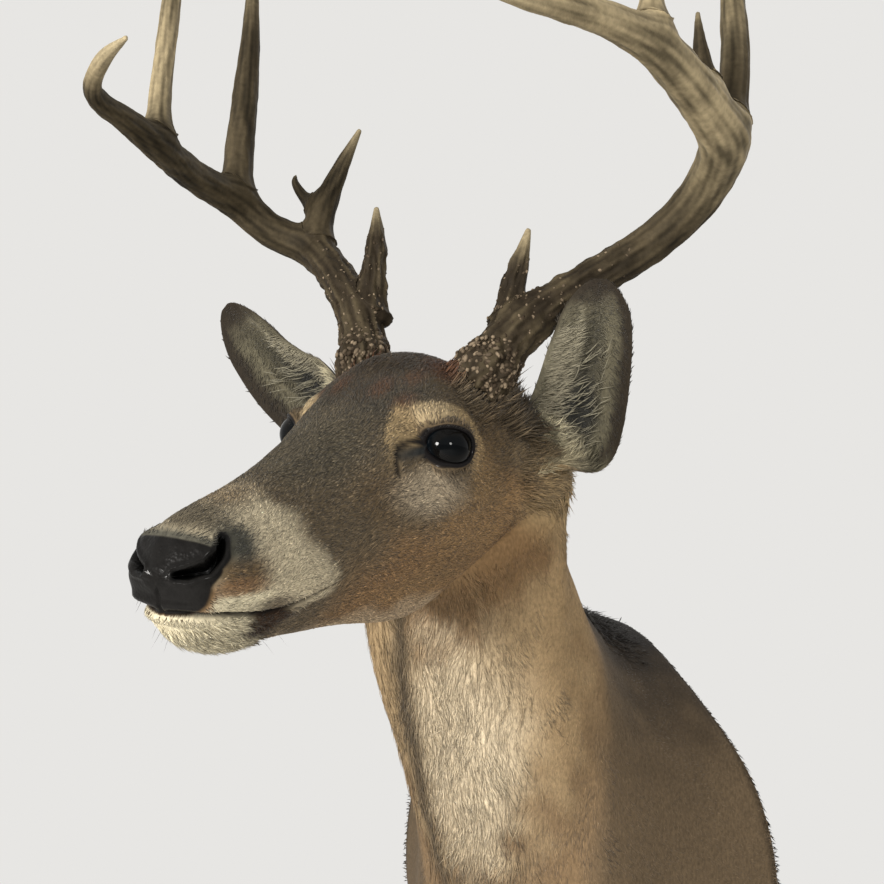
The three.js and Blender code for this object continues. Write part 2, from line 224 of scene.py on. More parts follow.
def from_head(points):
    """Points of the head's frame in the frame of the mount."""
    return EYE_POINT + np.asarray(points, dtype=float) @ HEAD_AXES


# A ring of the body: how far left it is, the top's and the bottom's distance from the wall and height, and
# four half-widths from top to bottom. A ring of the head has the same two points as forward and up.
stations = []
for left, top, low, *widths in BODY_RINGS:
    stations.append([left, -top[0], top[1], left, -low[0], low[1], *widths, 1, 0, 0])
for top, low, *widths in HEAD_RINGS:
    ends = from_head([[top[0], 0, top[1]], [low[0], 0, low[1]]])
    stations.append([*ends[0], *ends[1], *widths, *LEFT])
stations = np.array(stations, dtype=float)
print("stations:", len(stations))

# %% [markdown]
# ## The outline as a surface of two parameters
# Along the body, a smooth curve runs through each number of the stations. Round the body, the widths do the
# same from the top to the bottom. Lofting curves with a tool would do too, but the formula can be asked for
# a point anywhere, which the skin, the markings and the lie of the coat all need.


# %% Outline
def smooth_rows(rows, t):
    """Catmull-Rom curves through equally spaced rows, at shares t of the way."""
    rows = np.asarray(rows, dtype=float)
    last = len(rows) - 1
    i = np.clip((np.asarray(t) * last).astype(int), 0, last - 1)
    u = np.asarray(t) * last - i
    ends = np.concatenate([2 * rows[:1] - rows[1:2], rows, 2 * rows[-1:] - rows[-2:-1]])
    a, b, c, d = ends[i], ends[i + 1], ends[i + 2], ends[i + 3]
    u = u.reshape(u.shape + (1,) * (a.ndim - u.ndim))
    return b + 0.5 * u * (c - a + u * (2 * a - 5 * b + 4 * c - d + u * (3 * (b - c) + d - a)))


def outline(t, turn):
    """The coat's outline on a grid: bottom + (top - bottom) (1 + c^0.9) / 2 + side width s^0.8, where c and s
    are the cosine and sine of the turn round from the top, with their signs kept."""
    row = smooth_rows(stations, t)
    c, s = np.cos(2 * np.pi * turn), np.sin(2 * np.pi * turn)
    knots = np.stack([row[:, 6], row[:, 6], row[:, 7], row[:, 8], row[:, 9], row[:, 9]])
    width = smooth_rows(knots, np.arccos(c) / np.pi).T
    rise = 0.5 + 0.5 * np.sign(c) * np.abs(c) ** 0.9
    across = (width * np.sign(s) * np.abs(s) ** 0.8)[..., None] * unit(row[:, 10:13])[:, None]
    top, low = row[:, None, 0:3], row[:, None, 3:6]
    return low + (top - low) * rise[None, :, None] + across


def from_top(turn):
    """How far round from the top a place is: 0 along the top, 1 along the throat."""
    return np.abs(((turn + 0.5) % 1) - 0.5) * 2


def facing(points):
    """Outward normals of a grid of rings from the wall to the nose: the cross product of its two slopes."""
    round_it = np.roll(points, -1, axis=1) - np.roll(points, 1, axis=1)
    return unit(np.cross(round_it, np.gradient(points, axis=0)))


COLUMNS = 280
SHARE_KNOTS = [0, 0.38, 0.86, 1]  # shares of the way from wall to nose
RING_KNOTS = [0, 62, 242, 318]  # rings used up by then: few on the body, many on the face and the nose
ring_t = np.interp(np.arange(RING_KNOTS[-1] + 1), RING_KNOTS, SHARE_KNOTS)
ring_t = np.convolve(np.pad(ring_t, 8, mode="reflect", reflect_type="odd"), np.ones(17) / 17, "valid")
ring_t[0], ring_t[-1] = 0, 1
turns = np.arange(COLUMNS) / COLUMNS
hair_tips = outline(ring_t, turns)
out = facing(hair_tips)
if out[40, 0, 2] < 0:  # the top of the neck faces up
    out = -out
print("outline rings and columns:", hair_tips.shape[:2])

# %% [markdown]
# ## The skin's folds and forms
# Under the hair the hide follows bone and muscle: the brow, the cheek ridge, the jaw muscle, the pit in front
# of the eye, the wings of the nostrils, the lips. On clay a taxidermist adds or presses each one by thumb.
# Here each is a soft mound or hollow: an amount times exp(-distance squared), measured in the head's frame
# and moved along the normal. The grooves of mouth and nostril follow short lines in the same way.

# %% Forms of the face
# Each form: forward, left (both sides), up, then its three radii, then how many millimetres it stands out.
FACE_FORMS = [
    [4, 56, 27, 26, 16, 8, 3.0],  # brow ridge over the eye
    [-40, 60, 20, 15, 16, 12, -3.0],  # hollow behind the brow
    [-14, 66, -30, 34, 20, 9, 2.2],  # cheek bone under the eye
    [60, 44, -36, 34, 16, 9, 2.0],  # its ridge running forward
    [33, 48, 0, 12, 12, 10, -3.8],  # pit in front of the eye
    [47, 46, -8, 10, 12, 8, -1.6],  # its lower end, with the gland's slit
    [62, 38, 4, 16, 12, 10, 1.6],  # edge of the pit, under the bridge
    [-45, 66, -66, 30, 24, 30, 2.6],  # jaw muscle
    [0, 46, -98, 26, 20, 12, -2.4],  # hollow in front of the jaw's angle
    [84, 34, -60, 30, 14, 14, -1.8],  # hollow of the cheek before the lips
    [90, 12, 2, 50, 8, 10, 1.0],  # edge of the nasal bone
    [184, 19, -46, 8, 7, 5, 2.6],  # wing of the nostril, over its slit
    [188, 17, -63, 7, 8, 4, 1.4],  # sill under the slit
    [171, 28, -50, 6, 8, 9, 1.8],  # fold behind the nostril
    [190, 0, -49, 8, 5, 8, -0.9],  # hollow between the wings
    [150, 34, -66, 26, 12, 7, 1.8],  # upper lip
    [160, 16, -99, 18, 16, 10, 1.5],  # chin
    [128, 30, -88, 22, 12, 7, 1.2],  # lower lip at the side
    [20, 0, 52, 34, 10, 14, -1.2],  # furrow of the forehead
    [-52, 46, 60, 17, 17, 17, 3.0],  # skin swelling round the antler's foot
    [-80, 60, 34, 17, 15, 16, 10.0],  # the same behind it, up to the ear
    [-20, 0, 66, 36, 30, 14, 3.5],  # crown
    [-104, 84, -20, 18, 26, 24, 6.0],  # muscle under the ear
    [85, 14, -108, 40, 20, 14, 2.5],  # edge of the jaw
]
MOUTH_LINE = [[86, 35, -74], [99, 34, -78], [112, 34, -79.5], [126, 33, -81], [140, 32, -82.2],
              [154, 31, -81.8], [167, 28, -80.5], [180, 25, -79], [190, 15, -78.5], [197, 0, -79]]
MOUTH_SPREAD = [[0, 0.3, 1], [1.8, 1.1, 1.0]]  # how many times the gap counts, from the corner to the chin
NOSTRIL_LINE = [[177, 22, -41], [182.5, 26, -47.5], [188, 23.5, -54], [193, 16, -57.5], [195, 10.5, -58.5]]
NOSTRIL_WIDTHS = [1.2, 2.1, 2.6, 2.4, 1.5]
GLAND_LINE = [[35, 41, 13], [41, 41, 7], [46, 42.5, 0.5], [47.6, 44.5, -5], [49, 47.4, -13]]
BROW_LINE = [[45, 40, 5], [39.5, 37.7, 14.6], [31, 36.5, 23], [19, 45, 24.5], [6, 53, 25], [-15.5, 58.4, 23],
             [-25.5, 62.5, 15.8], [-26.5, 66, 4.6], [-22.7, 67, -4]]
SEEN_FROM_SIDE = np.array([1, 0.3, 1])  # the mouth's line is followed by its place in the side view


def line_distance(points, line):
    """How far each point is from a line of straight pieces, and how far along it, from 0 to 1."""
    line = np.asarray(line, dtype=float)
    nearest = np.full(points.shape[:-1], 1e9)
    along = np.zeros(points.shape[:-1])
    for k in range(len(line) - 1):
        step = line[k + 1] - line[k]
        share = np.clip(((points - line[k]) @ step) / (step @ step), 0, 1)
        gap = np.linalg.norm(points - line[k] - share[..., None] * step, axis=-1)
        closer = gap < nearest
        nearest = np.where(closer, gap, nearest)
        along = np.where(closer, (k + share) / (len(line) - 1), along)
    return nearest, along


def mouth_distance(points):
    """How far each head point is from the mouth's line as seen from the side, and how far along it."""
    gap, along = line_distance(points * SEEN_FROM_SIDE, np.array(MOUTH_LINE) * SEEN_FROM_SIDE)
    return gap * np.interp(along, *MOUTH_SPREAD), along


def on_both_sides(points):
    """Head points with their left folded onto the right, as a face is the same on both sides."""
    return np.stack([points[..., 0], np.abs(points[..., 1]), points[..., 2]], axis=-1)


head = on_both_sides(in_head(hair_tips))
relief = np.zeros(head.shape[:2])
for x, y, z, rx, ry, rz, amount in FACE_FORMS:
    relief += amount * np.exp(-(((head - [x, y, z]) / [rx, ry, rz]) ** 2).sum(axis=-1))
mouth_gap, mouth_along = mouth_distance(head)
relief -= 4.8 * hump(mouth_gap, 0, 1.7) * ramp(mouth_along, 0.0, 0.1)  # the groove between the lips
relief += 1.1 * hump(mouth_gap, 4.8, 2.6) * ramp(mouth_along, 0.1, 0.4)  # the lips beside it
nostril_gap, nostril_along = line_distance(head, NOSTRIL_LINE)
nostril_half = np.interp(nostril_along, np.linspace(0, 1, len(NOSTRIL_WIDTHS)), NOSTRIL_WIDTHS)
nostril_pit = 1 - ramp(nostril_gap, nostril_half * 0.75, nostril_half * 1.25)
relief -= 9.0 * nostril_pit
relief += hump(nostril_gap - nostril_half, 2.2, 1.3)  # the rim round it
philtrum = hump(head[..., 1], 0, 1.2) * ramp(head[..., 0], 188, 193) * ramp(-head[..., 2], 56, 62)
relief -= 1.6 * philtrum
gland_gap, gland_along = line_distance(head, GLAND_LINE)
relief -= 2.6 * hump(gland_gap, 0, 1.5) * ramp(gland_along, 0.2, 0.6)
on_neck = 1 - ramp(ring_t, 0.36, 0.42)[:, None]
relief += on_neck * 1.6 * waves(hair_tips * [1.6, 1, 0.7], 130, seed=5)  # the neck's folds, longest down it
print("relief in mm: %.1f to %.1f" % (relief.min(), relief.max()))

# %% [markdown]
# ## How deep the coat is
# A whitetail's hair is some five millimetres deep on the shoulder as it lies, two on the cheek and almost
# nothing on the lips, and the nose is bare. The outline reaches the hair's tips, so the skin lies that much
# inside.

# %% Skin surface
DEPTH_KNOTS = [0, 0.04, 0.3, 0.38, 0.46, 0.7, 0.88, 0.95, 1]
coat_depth = np.interp(ring_t, DEPTH_KNOTS, [3, 5, 5, 4.2, 2.8, 2.0, 1.2, 0.7, 0.3])
skin_grid = hair_tips + out * (relief - coat_depth[:, None])[..., None]
print("coat depth in mm: %.1f to %.1f" % (coat_depth.min(), coat_depth.max()))

# %% [markdown]
# ## Eye sockets
# A glass eye sits in clay and the lids are tucked round it. Pushing the lids out of the face with a brush
# would leave a ragged edge, so a formula makes them. The face round each eye swells to a dome just outside
# the eyeball: along each line from the eye's centre the new distance is the soft maximum of the face's and
# the dome's, (a + b + sqrt((a - b)^2 + k^2)) / 2. Inside the opening the face drops behind the eye, and a
# sheet of its own makes the lid's rounded edge.

# %% Sockets and lids
EYE_CENTRE = np.array([4.0, 54.0, 4.0])
EYE_RADIUS = 17.0
LID_DOME = 18.6  # outside of the lids, from the eye's centre
OPENING = [15.8, 11.2]  # half-length and half-height of the opening
OPENING_TILT = np.radians(8)  # the front corner is the higher
EYE_TURNS = {1: 45, -1: 57}  # degrees that each eye looks out to its side: the right one is set further round
BEHIND_EYE = 12.5  # how far from the eye's centre the skin lies inside the opening
PIT_SLOPE = 22.0  # how fast the face may rise away from the opening, in millimetres for each radian
SOCKET_REACH = 42  # the face further than this from the eye's centre stays as it is


def eye_axes(side):
    """An eye's axis, the way along its opening to the muzzle, and the way up, in the folded head."""
    turn = np.radians(EYE_TURNS[side])
    axis = unit(np.array([np.cos(turn), np.sin(turn), 0.05]))
    ahead = unit(np.cross(axis, [0.0, 0.0, 1.0]))
    return axis, ahead, np.cross(ahead, axis)


def eye_angles(away, side):
    """For directions from the eye's centre: the angle off its axis, and the way round it from the front."""
    axis, ahead, over = eye_axes(side)
    return np.arccos(np.clip(away @ axis, -1, 1)), np.arctan2(away @ over, away @ ahead)


def eye_ways(angle, around, side):
    """The direction at an angle off the axis: axis cos(angle) + aside sin(angle), where aside is
    ahead cos(around) + over sin(around)."""
    axis, ahead, over = eye_axes(side)
    aside = ahead * np.cos(around)[..., None] + over * np.sin(around)[..., None]
    return axis * np.cos(angle)[..., None] + aside * np.sin(angle)[..., None]


def opening_angle(around):
    """How far off the axis the lid's edge is: (|cos / half-length|^n + |sin / half-height|^n)^(-1/n), a shape
    a little squarer than an ellipse."""
    c, s = np.cos(around - OPENING_TILT), np.sin(around - OPENING_TILT)
    n = 2.2
    reach = (np.abs(c / OPENING[0]) ** n + np.abs(s / OPENING[1]) ** n) ** (-1 / n)
    return np.arcsin(np.clip(reach / EYE_RADIUS, 0, 0.99))


def softly_above(a, b, k):
    """The larger of two numbers, rounded where they are within about k of each other."""
    return 0.5 * (a + b + np.sqrt((a - b) ** 2 + k * k))


def lid_distance(face, angle, around):
    """Distance of the changed face from the eye's centre, given the bare face's: never under the dome, and
    near the opening never above a cone that starts at the dome, so the face slopes down to the eye."""
    past = angle - opening_angle(around)
    crease = 0.8 * hump(past, 0.26, 0.07) * ramp(np.sin(around), 0.0, 0.7)
    cone = LID_DOME + 1.2 + PIT_SLOPE * np.maximum(past, 0)
    return softly_above(-softly_above(-face, -cone, 2.0), LID_DOME, 2.0) - crease


def with_sockets(points):
    """The skin's grid after the change round both eyes, how near each point is to an opening, and the bare
    face's distance from each eye's centre."""
    near = np.zeros(points.shape[:-1])
    local = in_head(points)
    lids = []
    for side in (1, -1):
        away = (local - EYE_CENTRE * [1, side, 1]) * [1, side, 1]
        face = np.linalg.norm(away, axis=-1)
        angle, around = eye_angles(unit(away), side)
        beside = (face < SOCKET_REACH) & (angle < 2.2)
        edge = opening_angle(around)
        raised = lid_distance(face, angle, around) - 0.7 * (1 - ramp(angle - edge, 0.15, 0.5))
        change = BEHIND_EYE + (raised - BEHIND_EYE) * ramp(angle - edge, 0.0, 0.10)
        near_edge = 1 - ramp(angle - edge, 0.45, 0.80)
        near_centre = 1 - ramp(face, SOCKET_REACH - 10, SOCKET_REACH)
        change = face + (change - face) * near_edge * near_centre
        new = np.where(beside, change, face)
        away = away / face[..., None] * new[..., None]
        local = np.where(beside[..., None], away * [1, side, 1] + EYE_CENTRE * [1, side, 1], local)
        near = np.maximum(near, np.where(beside, 1 - ramp(angle - edge, 0.01, 0.10), 0))
        take = beside & (angle < 1.9)
        lids.append((unit(away[take]), face[take]))
    return from_head(local), near, lids


skin_grid, eye_near, bare_faces = with_sockets(skin_grid)
LID_RINGS, LID_AROUND = 15, 96
LID_REACH = 0.36  # how far past the edge the lid's own sheet goes, in radians


def lid_sheet(side):
    """A lid's sheet round the opening: from inside the eyeball over a rounded edge, then under the face."""
    ways, faces = bare_faces[0 if side > 0 else 1]
    around = np.linspace(0, 2 * np.pi, LID_AROUND, endpoint=False)[None, :]
    row = np.arange(LID_RINGS)[:, None]
    edge = opening_angle(around)
    knots = [0, 1, 2, 3, 4, 5, LID_RINGS - 1]
    past = np.interp(row, knots, [-0.02, -0.035, -0.03, -0.01, 0.03, 0.07, LID_REACH])
    angle = edge + past + 0 * around
    way = eye_ways(angle, around, side)
    nearness = np.exp(-((way.reshape(-1, 1, 3) - ways[None]) ** 2).sum(axis=-1) / (2 * 0.045**2)) + 1e-12
    face = (nearness @ faces / nearness.sum(axis=1)).reshape(angle.shape)
    skin = lid_distance(face, angle, around)
    rim = np.interp(row, knots[:-1], [0.0, 0.1, 0.45, 0.8, 0.96, 1.0]) + 0 * around
    inner = EYE_RADIUS - 0.6
    reach = inner + (skin - 1.2 * ramp(past, 0.18, LID_REACH) - inner) * rim
    return from_head((EYE_CENTRE + way * reach[..., None]) * [1, side, 1]), angle - edge


lid_grids = [lid_sheet(side) for side in (1, -1)]
print("lid points:", lid_grids[0][0].shape)

# %% [markdown]
# ## Ears
# An ear is a leaf of gristle curled into a cup and tucked under the hair at its root. A curled blade can be
# bent from a plane with modifiers. A formula is surer: across the blade the middle is drawn back by the
# square of the way to the rim, and the ring round it is a flat ellipse that swells from skin to skin.

# %% Ear blades
EARS = {
    "left": ([[-93, 78, -9], [-105, 105, 14], [-80, 122, 72], [-70, 126.5, 121]], [0.12, 0.98, -0.1], 37),
    "right": ([[-90, -64, 2], [-100, -112, 27], [-92, -152, 54], [-74, -195, 102]], [-0.3, -0.6, -0.74], 41),
}  # each ear: its centre line in the head's frame, the way across it, and its half-width
EAR_CUP = 0.42  # how strongly the blade is curled
EAR_THICKNESS = 1.9  # half of it, without the hair
HAIR_ROOM = 1.6  # between the skin's rim and the outline's
EAR_SPREAD = [0.64, 1, 1.06, 1, 0.91, 0.76, 0.60]  # half-widths from root to tip, as shares of the widest
EAR_ROWS, EAR_AROUND = 46, 44


def ear_frame(which, t):
    """Centre line, its direction, the direction across and the direction the cup opens, at shares t."""
    line, across, width = EARS[which]
    centre = smooth_rows(line, t)
    along = unit(smooth_rows(line, t + 0.02) - smooth_rows(line, t - 0.02))
    across = np.asarray(across) - along * (along @ np.asarray(across))[:, None]
    across = unit(across)
    opens = np.cross(along, across)
    opens = opens * np.sign(opens[:, :1])
    return centre, along, across, opens, width


def ear_surface(which, t, s, face, depth):
    """Points of a blade. s is -1 to 1 across it, face -1 (back) to 1 (cup), depth half its thickness."""
    centre, _, across, opens, width = ear_frame(which, t)
    half = (width - HAIR_ROOM) * smooth_rows(np.array(EAR_SPREAD)[:, None], np.clip(t, 0, 1))
    tip = np.sqrt(np.clip(1 - (np.maximum(t - 0.80, 0) / 0.205) ** 2, 0.02, 1))[:, None]
    half = half * tip
    half = half * (1 + 0.12 * hump(t, 0.38, 0.18)[:, None] * np.maximum(-s, 0))
    half = half * (1 - 0.50 * (1 - ramp(t, 0.02, 0.30))[:, None] * np.maximum(s, 0))
    curl = EAR_CUP * (1.6 - t)[:, None]
    ridges = 1.3 * hump(s, -0.28, 0.10) + 1.1 * hump(s, 0.22, 0.12)
    ridges = ridges * ramp(t, 0.05, 0.25)[:, None] * (1 - ramp(t, 0.6, 0.85))[:, None] * (face > 0)
    bend = half * curl * (s**2 - 0.35) + face * depth + ridges
    return (
        centre[:, None]
        + across[:, None] * (half * s * (1 - 0.12 * curl * s**2))[..., None]
        + opens[:, None] * bend[..., None]
    )


def ear_grid(which):
    """The whole blade as rings: the angle round a ring gives s = -cos and the face = sine."""
    t = -0.1 + 1.1 * (1 - (1 - np.linspace(0, 1, EAR_ROWS)) ** 1.4)
    angle = np.linspace(0, 2 * np.pi, EAR_AROUND, endpoint=False)
    s = -np.cos(angle)[None, :] + 0 * t[:, None]
    face = np.sin(angle)[None, :] + 0 * s
    return t, s, face, ear_surface(which, t, s, face, EAR_THICKNESS)


ear_grids = {which: ear_grid(which) for which in EARS}
print("ear points each:", EAR_ROWS * EAR_AROUND)

# %% [markdown]
# ## Markings
# The buck is in winter coat: a grey-brown face with a darker crown, a cream arc over the eye and a pale patch
# under it, a cream band behind the nostrils, white chin and throat, a tan neck and a grey-brown shoulder
# that darkens to the withers. Painting an image would tie the markings to one mesh. One function of
# the place gives them to the skin and to every tuft instead, as soft patches laid one over the other.

# %% Coat colours
# Besides the hair's own markings, some tones and patches below are painted shade: in the throat's crease,
# under the jaw and inside the nostrils.
TONES = {
    "face": (0.104, 0.078, 0.047),
    "bridge": (0.074, 0.061, 0.040),
    "crown": (0.040, 0.029, 0.018),
    "fore": (0.048, 0.041, 0.029),
    "rust": (0.100, 0.045, 0.022),
    "cheek": (0.196, 0.116, 0.052),
    "fawn": (0.240, 0.155, 0.072),
    "cream": (0.470, 0.405, 0.280),
    "gold": (0.330, 0.240, 0.125),
    "rose": (0.410, 0.338, 0.238),
    "white": (0.560, 0.500, 0.350),
    "jaw": (0.430, 0.345, 0.235),
    "black": (0.007, 0.006, 0.006),
    "wet": (0.022, 0.024, 0.024),
    "lip": (0.034, 0.018, 0.008),
    "umber": (0.105, 0.066, 0.030),
    "bay": (0.200, 0.112, 0.052),
    "throat": (0.560, 0.470, 0.330),
    "tan": (0.315, 0.232, 0.132),
    "flank": (0.162, 0.108, 0.060),
    "crease_shade": (0.120, 0.090, 0.055),
    "shoulder": (0.107, 0.075, 0.043),
    "withers": (0.005, 0.0035, 0.0025),
    "olive": (0.165, 0.114, 0.060),
    "nose": (0.0070, 0.0065, 0.0060),
    "bare": (0.036, 0.037, 0.030),
    "nostril_shade": (0.001, 0.001, 0.001),
    "ear": (0.105, 0.085, 0.058),
    "ear_tip": (0.045, 0.037, 0.027),
    "cup": (0.080, 0.071, 0.046),
}


def patch(place, centre, radii, soft=0.35):
    """1 inside a soft ellipsoid and 0 outside: the edge is soft times the radii wide."""
    far = np.sqrt((((place - centre) / radii) ** 2).sum(axis=-1))
    return 1 - ramp(far, 1 - soft, 1 + soft)


def pad_edge(place):
    """How far forward the nose pad starts: the line leans back up to the bridge and forward at the lip."""
    edge = 184.5 + 1.1 * np.maximum(0, place[..., 2] + 47) + 0.3 * np.maximum(0, -72 - place[..., 2])
    y, z = place[..., 1], place[..., 2]
    return edge - 1.5 * ramp(y, 6, 16) + 5.0 * ramp(-z, 55, 64) * ramp(y, 8, 17)


def nose_mask(place):
    """Where the bare nose pad is: in front of its edge, and beside each nostril's slit."""
    edge = pad_edge(place)
    pad = ramp(place[..., 0], edge - 1.2, edge + 0.6) * ramp(place[..., 2], -80.5, -79)
    slit, along = line_distance(place, NOSTRIL_LINE)
    reach = 3.8 + 1.6 * ramp(along, 0.10, 0.30)
    return np.maximum(pad, 1 - ramp(slit, reach, reach + 1.4))


def eye_ring(points):
    """How far outside its eye's opening each point of the skin is, as millimetres along the lid."""
    local = in_head(points)
    away = on_both_sides(local) - EYE_CENTRE
    beyond = np.maximum(np.linalg.norm(away, axis=-1) - 23, 0)
    rings = []
    for side in (1, -1):
        angle, around = eye_angles(unit(away), side)
        rings.append(LID_DOME * (angle - opening_angle(around)) + beyond)
    return np.where(local[..., 1] < 0, rings[1], rings[0])


# Soft patches of the head in the order they are laid. Each: tone, share, centre, radii, softness of its edge.
FACE_PATCHES = {
    "bridge": [
        ["bridge", 1.00, [95, 8, 6], [66, 30, 30], 0.5],
        ["umber", 0.45, [62, 44, -28], [20, 20, 16], 0.7],
    ],
    "cheek and crown": [
        ["fawn", 0.50, [-40, 66, -52], [56, 30, 34], 0.6],
        ["fawn", 0.50, [-30, 40, -96], [60, 26, 16], 0.7],
        ["umber", 0.50, [-48, 70, 3], [20, 22, 26], 0.6],
        ["umber", 0.35, [-20, 56, -84], [44, 30, 20], 0.7],
        ["fore", 0.90, [26, 22, 36], [40, 28, 20], 0.5],
        ["crown", 0.80, [24, 8, 44], [34, 15, 20], 0.5],
        ["crown", 0.85, [-22, 10, 62], [36, 40, 20], 0.45],
        ["rust", 0.90, [-34, 32, 56], [20, 15, 14], 0.6],
        ["rust", 0.50, [26, 16, 40], [13, 6, 8], 0.7],
        ["rust", 0.50, [26, 34, 30], [13, 6, 8], 0.7],
        ["rust", 0.50, [2, 28, 46], [13, 6, 8], 0.7],
        ["withers", 0.90, [-86, 62, 32], [17, 19, 19], 0.6],
    ],
    "round the eye": [
        ["gold", 0.60, [-20, 62, 4], [10, 10, 20], 0.7],
        ["fawn", 0.75, [-32, 67, -14], [15, 12, 20], 0.7],
        ["gold", 0.30, [51, 42, -4], [6, 6, 12], 0.6],
        ["rose", 0.62, [26, 57, -26], [32, 17, 13], 0.6],
    ],
    "front corner": [["wet", 0.90, [38, 44.5, -0.5], [10, 9, 5.5], 0.6]],
    "over the nose": [
        ["umber", 0.75, [158, 6, -22], [17, 12, 8], 0.7],
        ["bridge", 0.95, [176, 0, -33], [17, 22, 10], 0.6],
    ],
    "beside the nose": [
        ["umber", 0.95, [172, 31, -58], [17, 12, 9], 0.6],
        ["bay", 0.80, [174, 30, -65], [17, 10, 4.5], 0.6],
        ["bare", 0.95, [171, 25, -44], [12, 12, 11], 0.5],
    ],
    "lips": [
        ["lip", 1.00, [145, 28, -88], [17, 14, 9.0], 0.35],
        ["lip", 0.75, [148, 34, -78], [16, 9, 4.6], 0.8],
    ],
}


def laid(tone, place, rows):
    """Colours after soft patches are laid over them in turn. A patch's colour may be a tone's name."""
    for colour, share, centre, radii, soft in rows:
        tone = blend(tone, TONES.get(colour, colour), share * patch(place, centre, radii, soft))
    return tone


def head_tones(place, wobble, ring):
    """Colours over the head. place is in the head's folded frame, and ring how far from the eye's opening."""
    x, y, z = place[..., 0], place[..., 1], place[..., 2]
    tone = flat(TONES["face"], place.shape)
    tone = laid(tone, place, FACE_PATCHES["bridge"])
    cheek = ramp(-z + 0.34 * (30 - x) + 6 * wobble, 28, 78) * ramp(95 - x, -10, 50)
    tone = blend(tone, TONES["cheek"], cheek)
    tone = laid(tone, place, FACE_PATCHES["cheek and crown"])
    jaw = ramp(-z + 4 * wobble, 99, 115) * ramp(x, -85, -50) * (1 - ramp(x, 112, 132))
    tone = blend(tone, TONES["jaw"], 0.6 * jaw)

    brow, brow_at = line_distance(place, BROW_LINE)
    arc = 1 - ramp(brow + 0.8 * wobble, 4.5, 10.0)
    tone = blend(tone, TONES["gold"], (0.72 + 0.25 * ramp(brow_at, 0.15, 0.4)) * arc)
    tone = blend(tone, TONES["cream"], 0.25 * arc * patch(place, [12, 48, 25], [22, 14, 8], 0.5))
    tone = laid(tone, place, FACE_PATCHES["round the eye"])
    near_eye = ramp(x, -60, -40) * (y > 25)
    tone = blend(tone, TONES["umber"], 0.35 * (1 - ramp(ring, 2.0, 4.0)) * near_eye)
    tone = blend(tone, TONES["black"], (1 - ramp(ring + 0.2 * wobble, 0.8, 2.0)) * near_eye)
    tone = laid(tone, place, FACE_PATCHES["front corner"])
    gland = line_distance(place, GLAND_LINE)[0]
    tone = blend(tone, TONES["black"], 0.95 * (1 - ramp(gland, 0.9, 2.4)))

    behind = 98 + 0.82 * (z + 71) + 6 * wobble  # the band's rear edge leans back as it goes down
    band = ramp(x - np.minimum(behind, 140), -9, 11) * ramp(-z, 7, 27) * ramp(z, -86, -80)
    tone = blend(tone, TONES["cream"], band)
    tone = laid(tone, place, FACE_PATCHES["over the nose"])
    past_edge = x - pad_edge(place)
    tone = blend(tone, TONES["bare"], 0.90 * ramp(past_edge, -9, -3) * ramp(z, -60, -48))
    tone = laid(tone, place, FACE_PATCHES["beside the nose"])
    tone = blend(tone, TONES["white"], ramp(x, 138, 152) * ramp(-z, 80, 82.5))
    tone = blend(tone, TONES["white"], 0.98 * ramp(x, 146, 160) * ramp(-z, 68, 70.5) * ramp(z, -82.5, -80))
    tone = blend(tone, TONES["bay"], 0.9 * ramp(past_edge, -4, -1) * ramp(-z, 62, 68) * (z > -80))
    tone = blend(tone, TONES["umber"], 0.8 * ramp(past_edge, -2.5, -0.5) * ramp(-z, 60, 66) * (z > -80))
    tone = laid(tone, place, FACE_PATCHES["lips"])
    mouth, mouth_at = mouth_distance(place)
    tone = blend(tone, TONES["black"], 0.95 * (1 - ramp(mouth, 1.2, 2.5)) * ramp(mouth_at, 0.0, 0.06))
    tone = blend(tone, TONES["nose"], nose_mask(place))
    # Inside each nostril's slit the black skin is darkened further: painted shade in the nostril.
    slit = line_distance(place, NOSTRIL_LINE)[0]
    return blend(tone, TONES["nostril_shade"], 1 - ramp(slit, 2.0, 3.2))


# The throat's patches, by share of the way and turn.
THROAT_PATCHES = [
    ["throat", 0.35, [0.350, 0.480], [0.060, 0.085], 0.55],  # down the middle of the throat
    ["throat", 0.55, [0.345, 0.500], [0.035, 0.060], 0.55],  # under the jaw
    ["throat", 0.95, [0.306, 0.468], [0.044, 0.105], 0.55],  # the patch itself
]


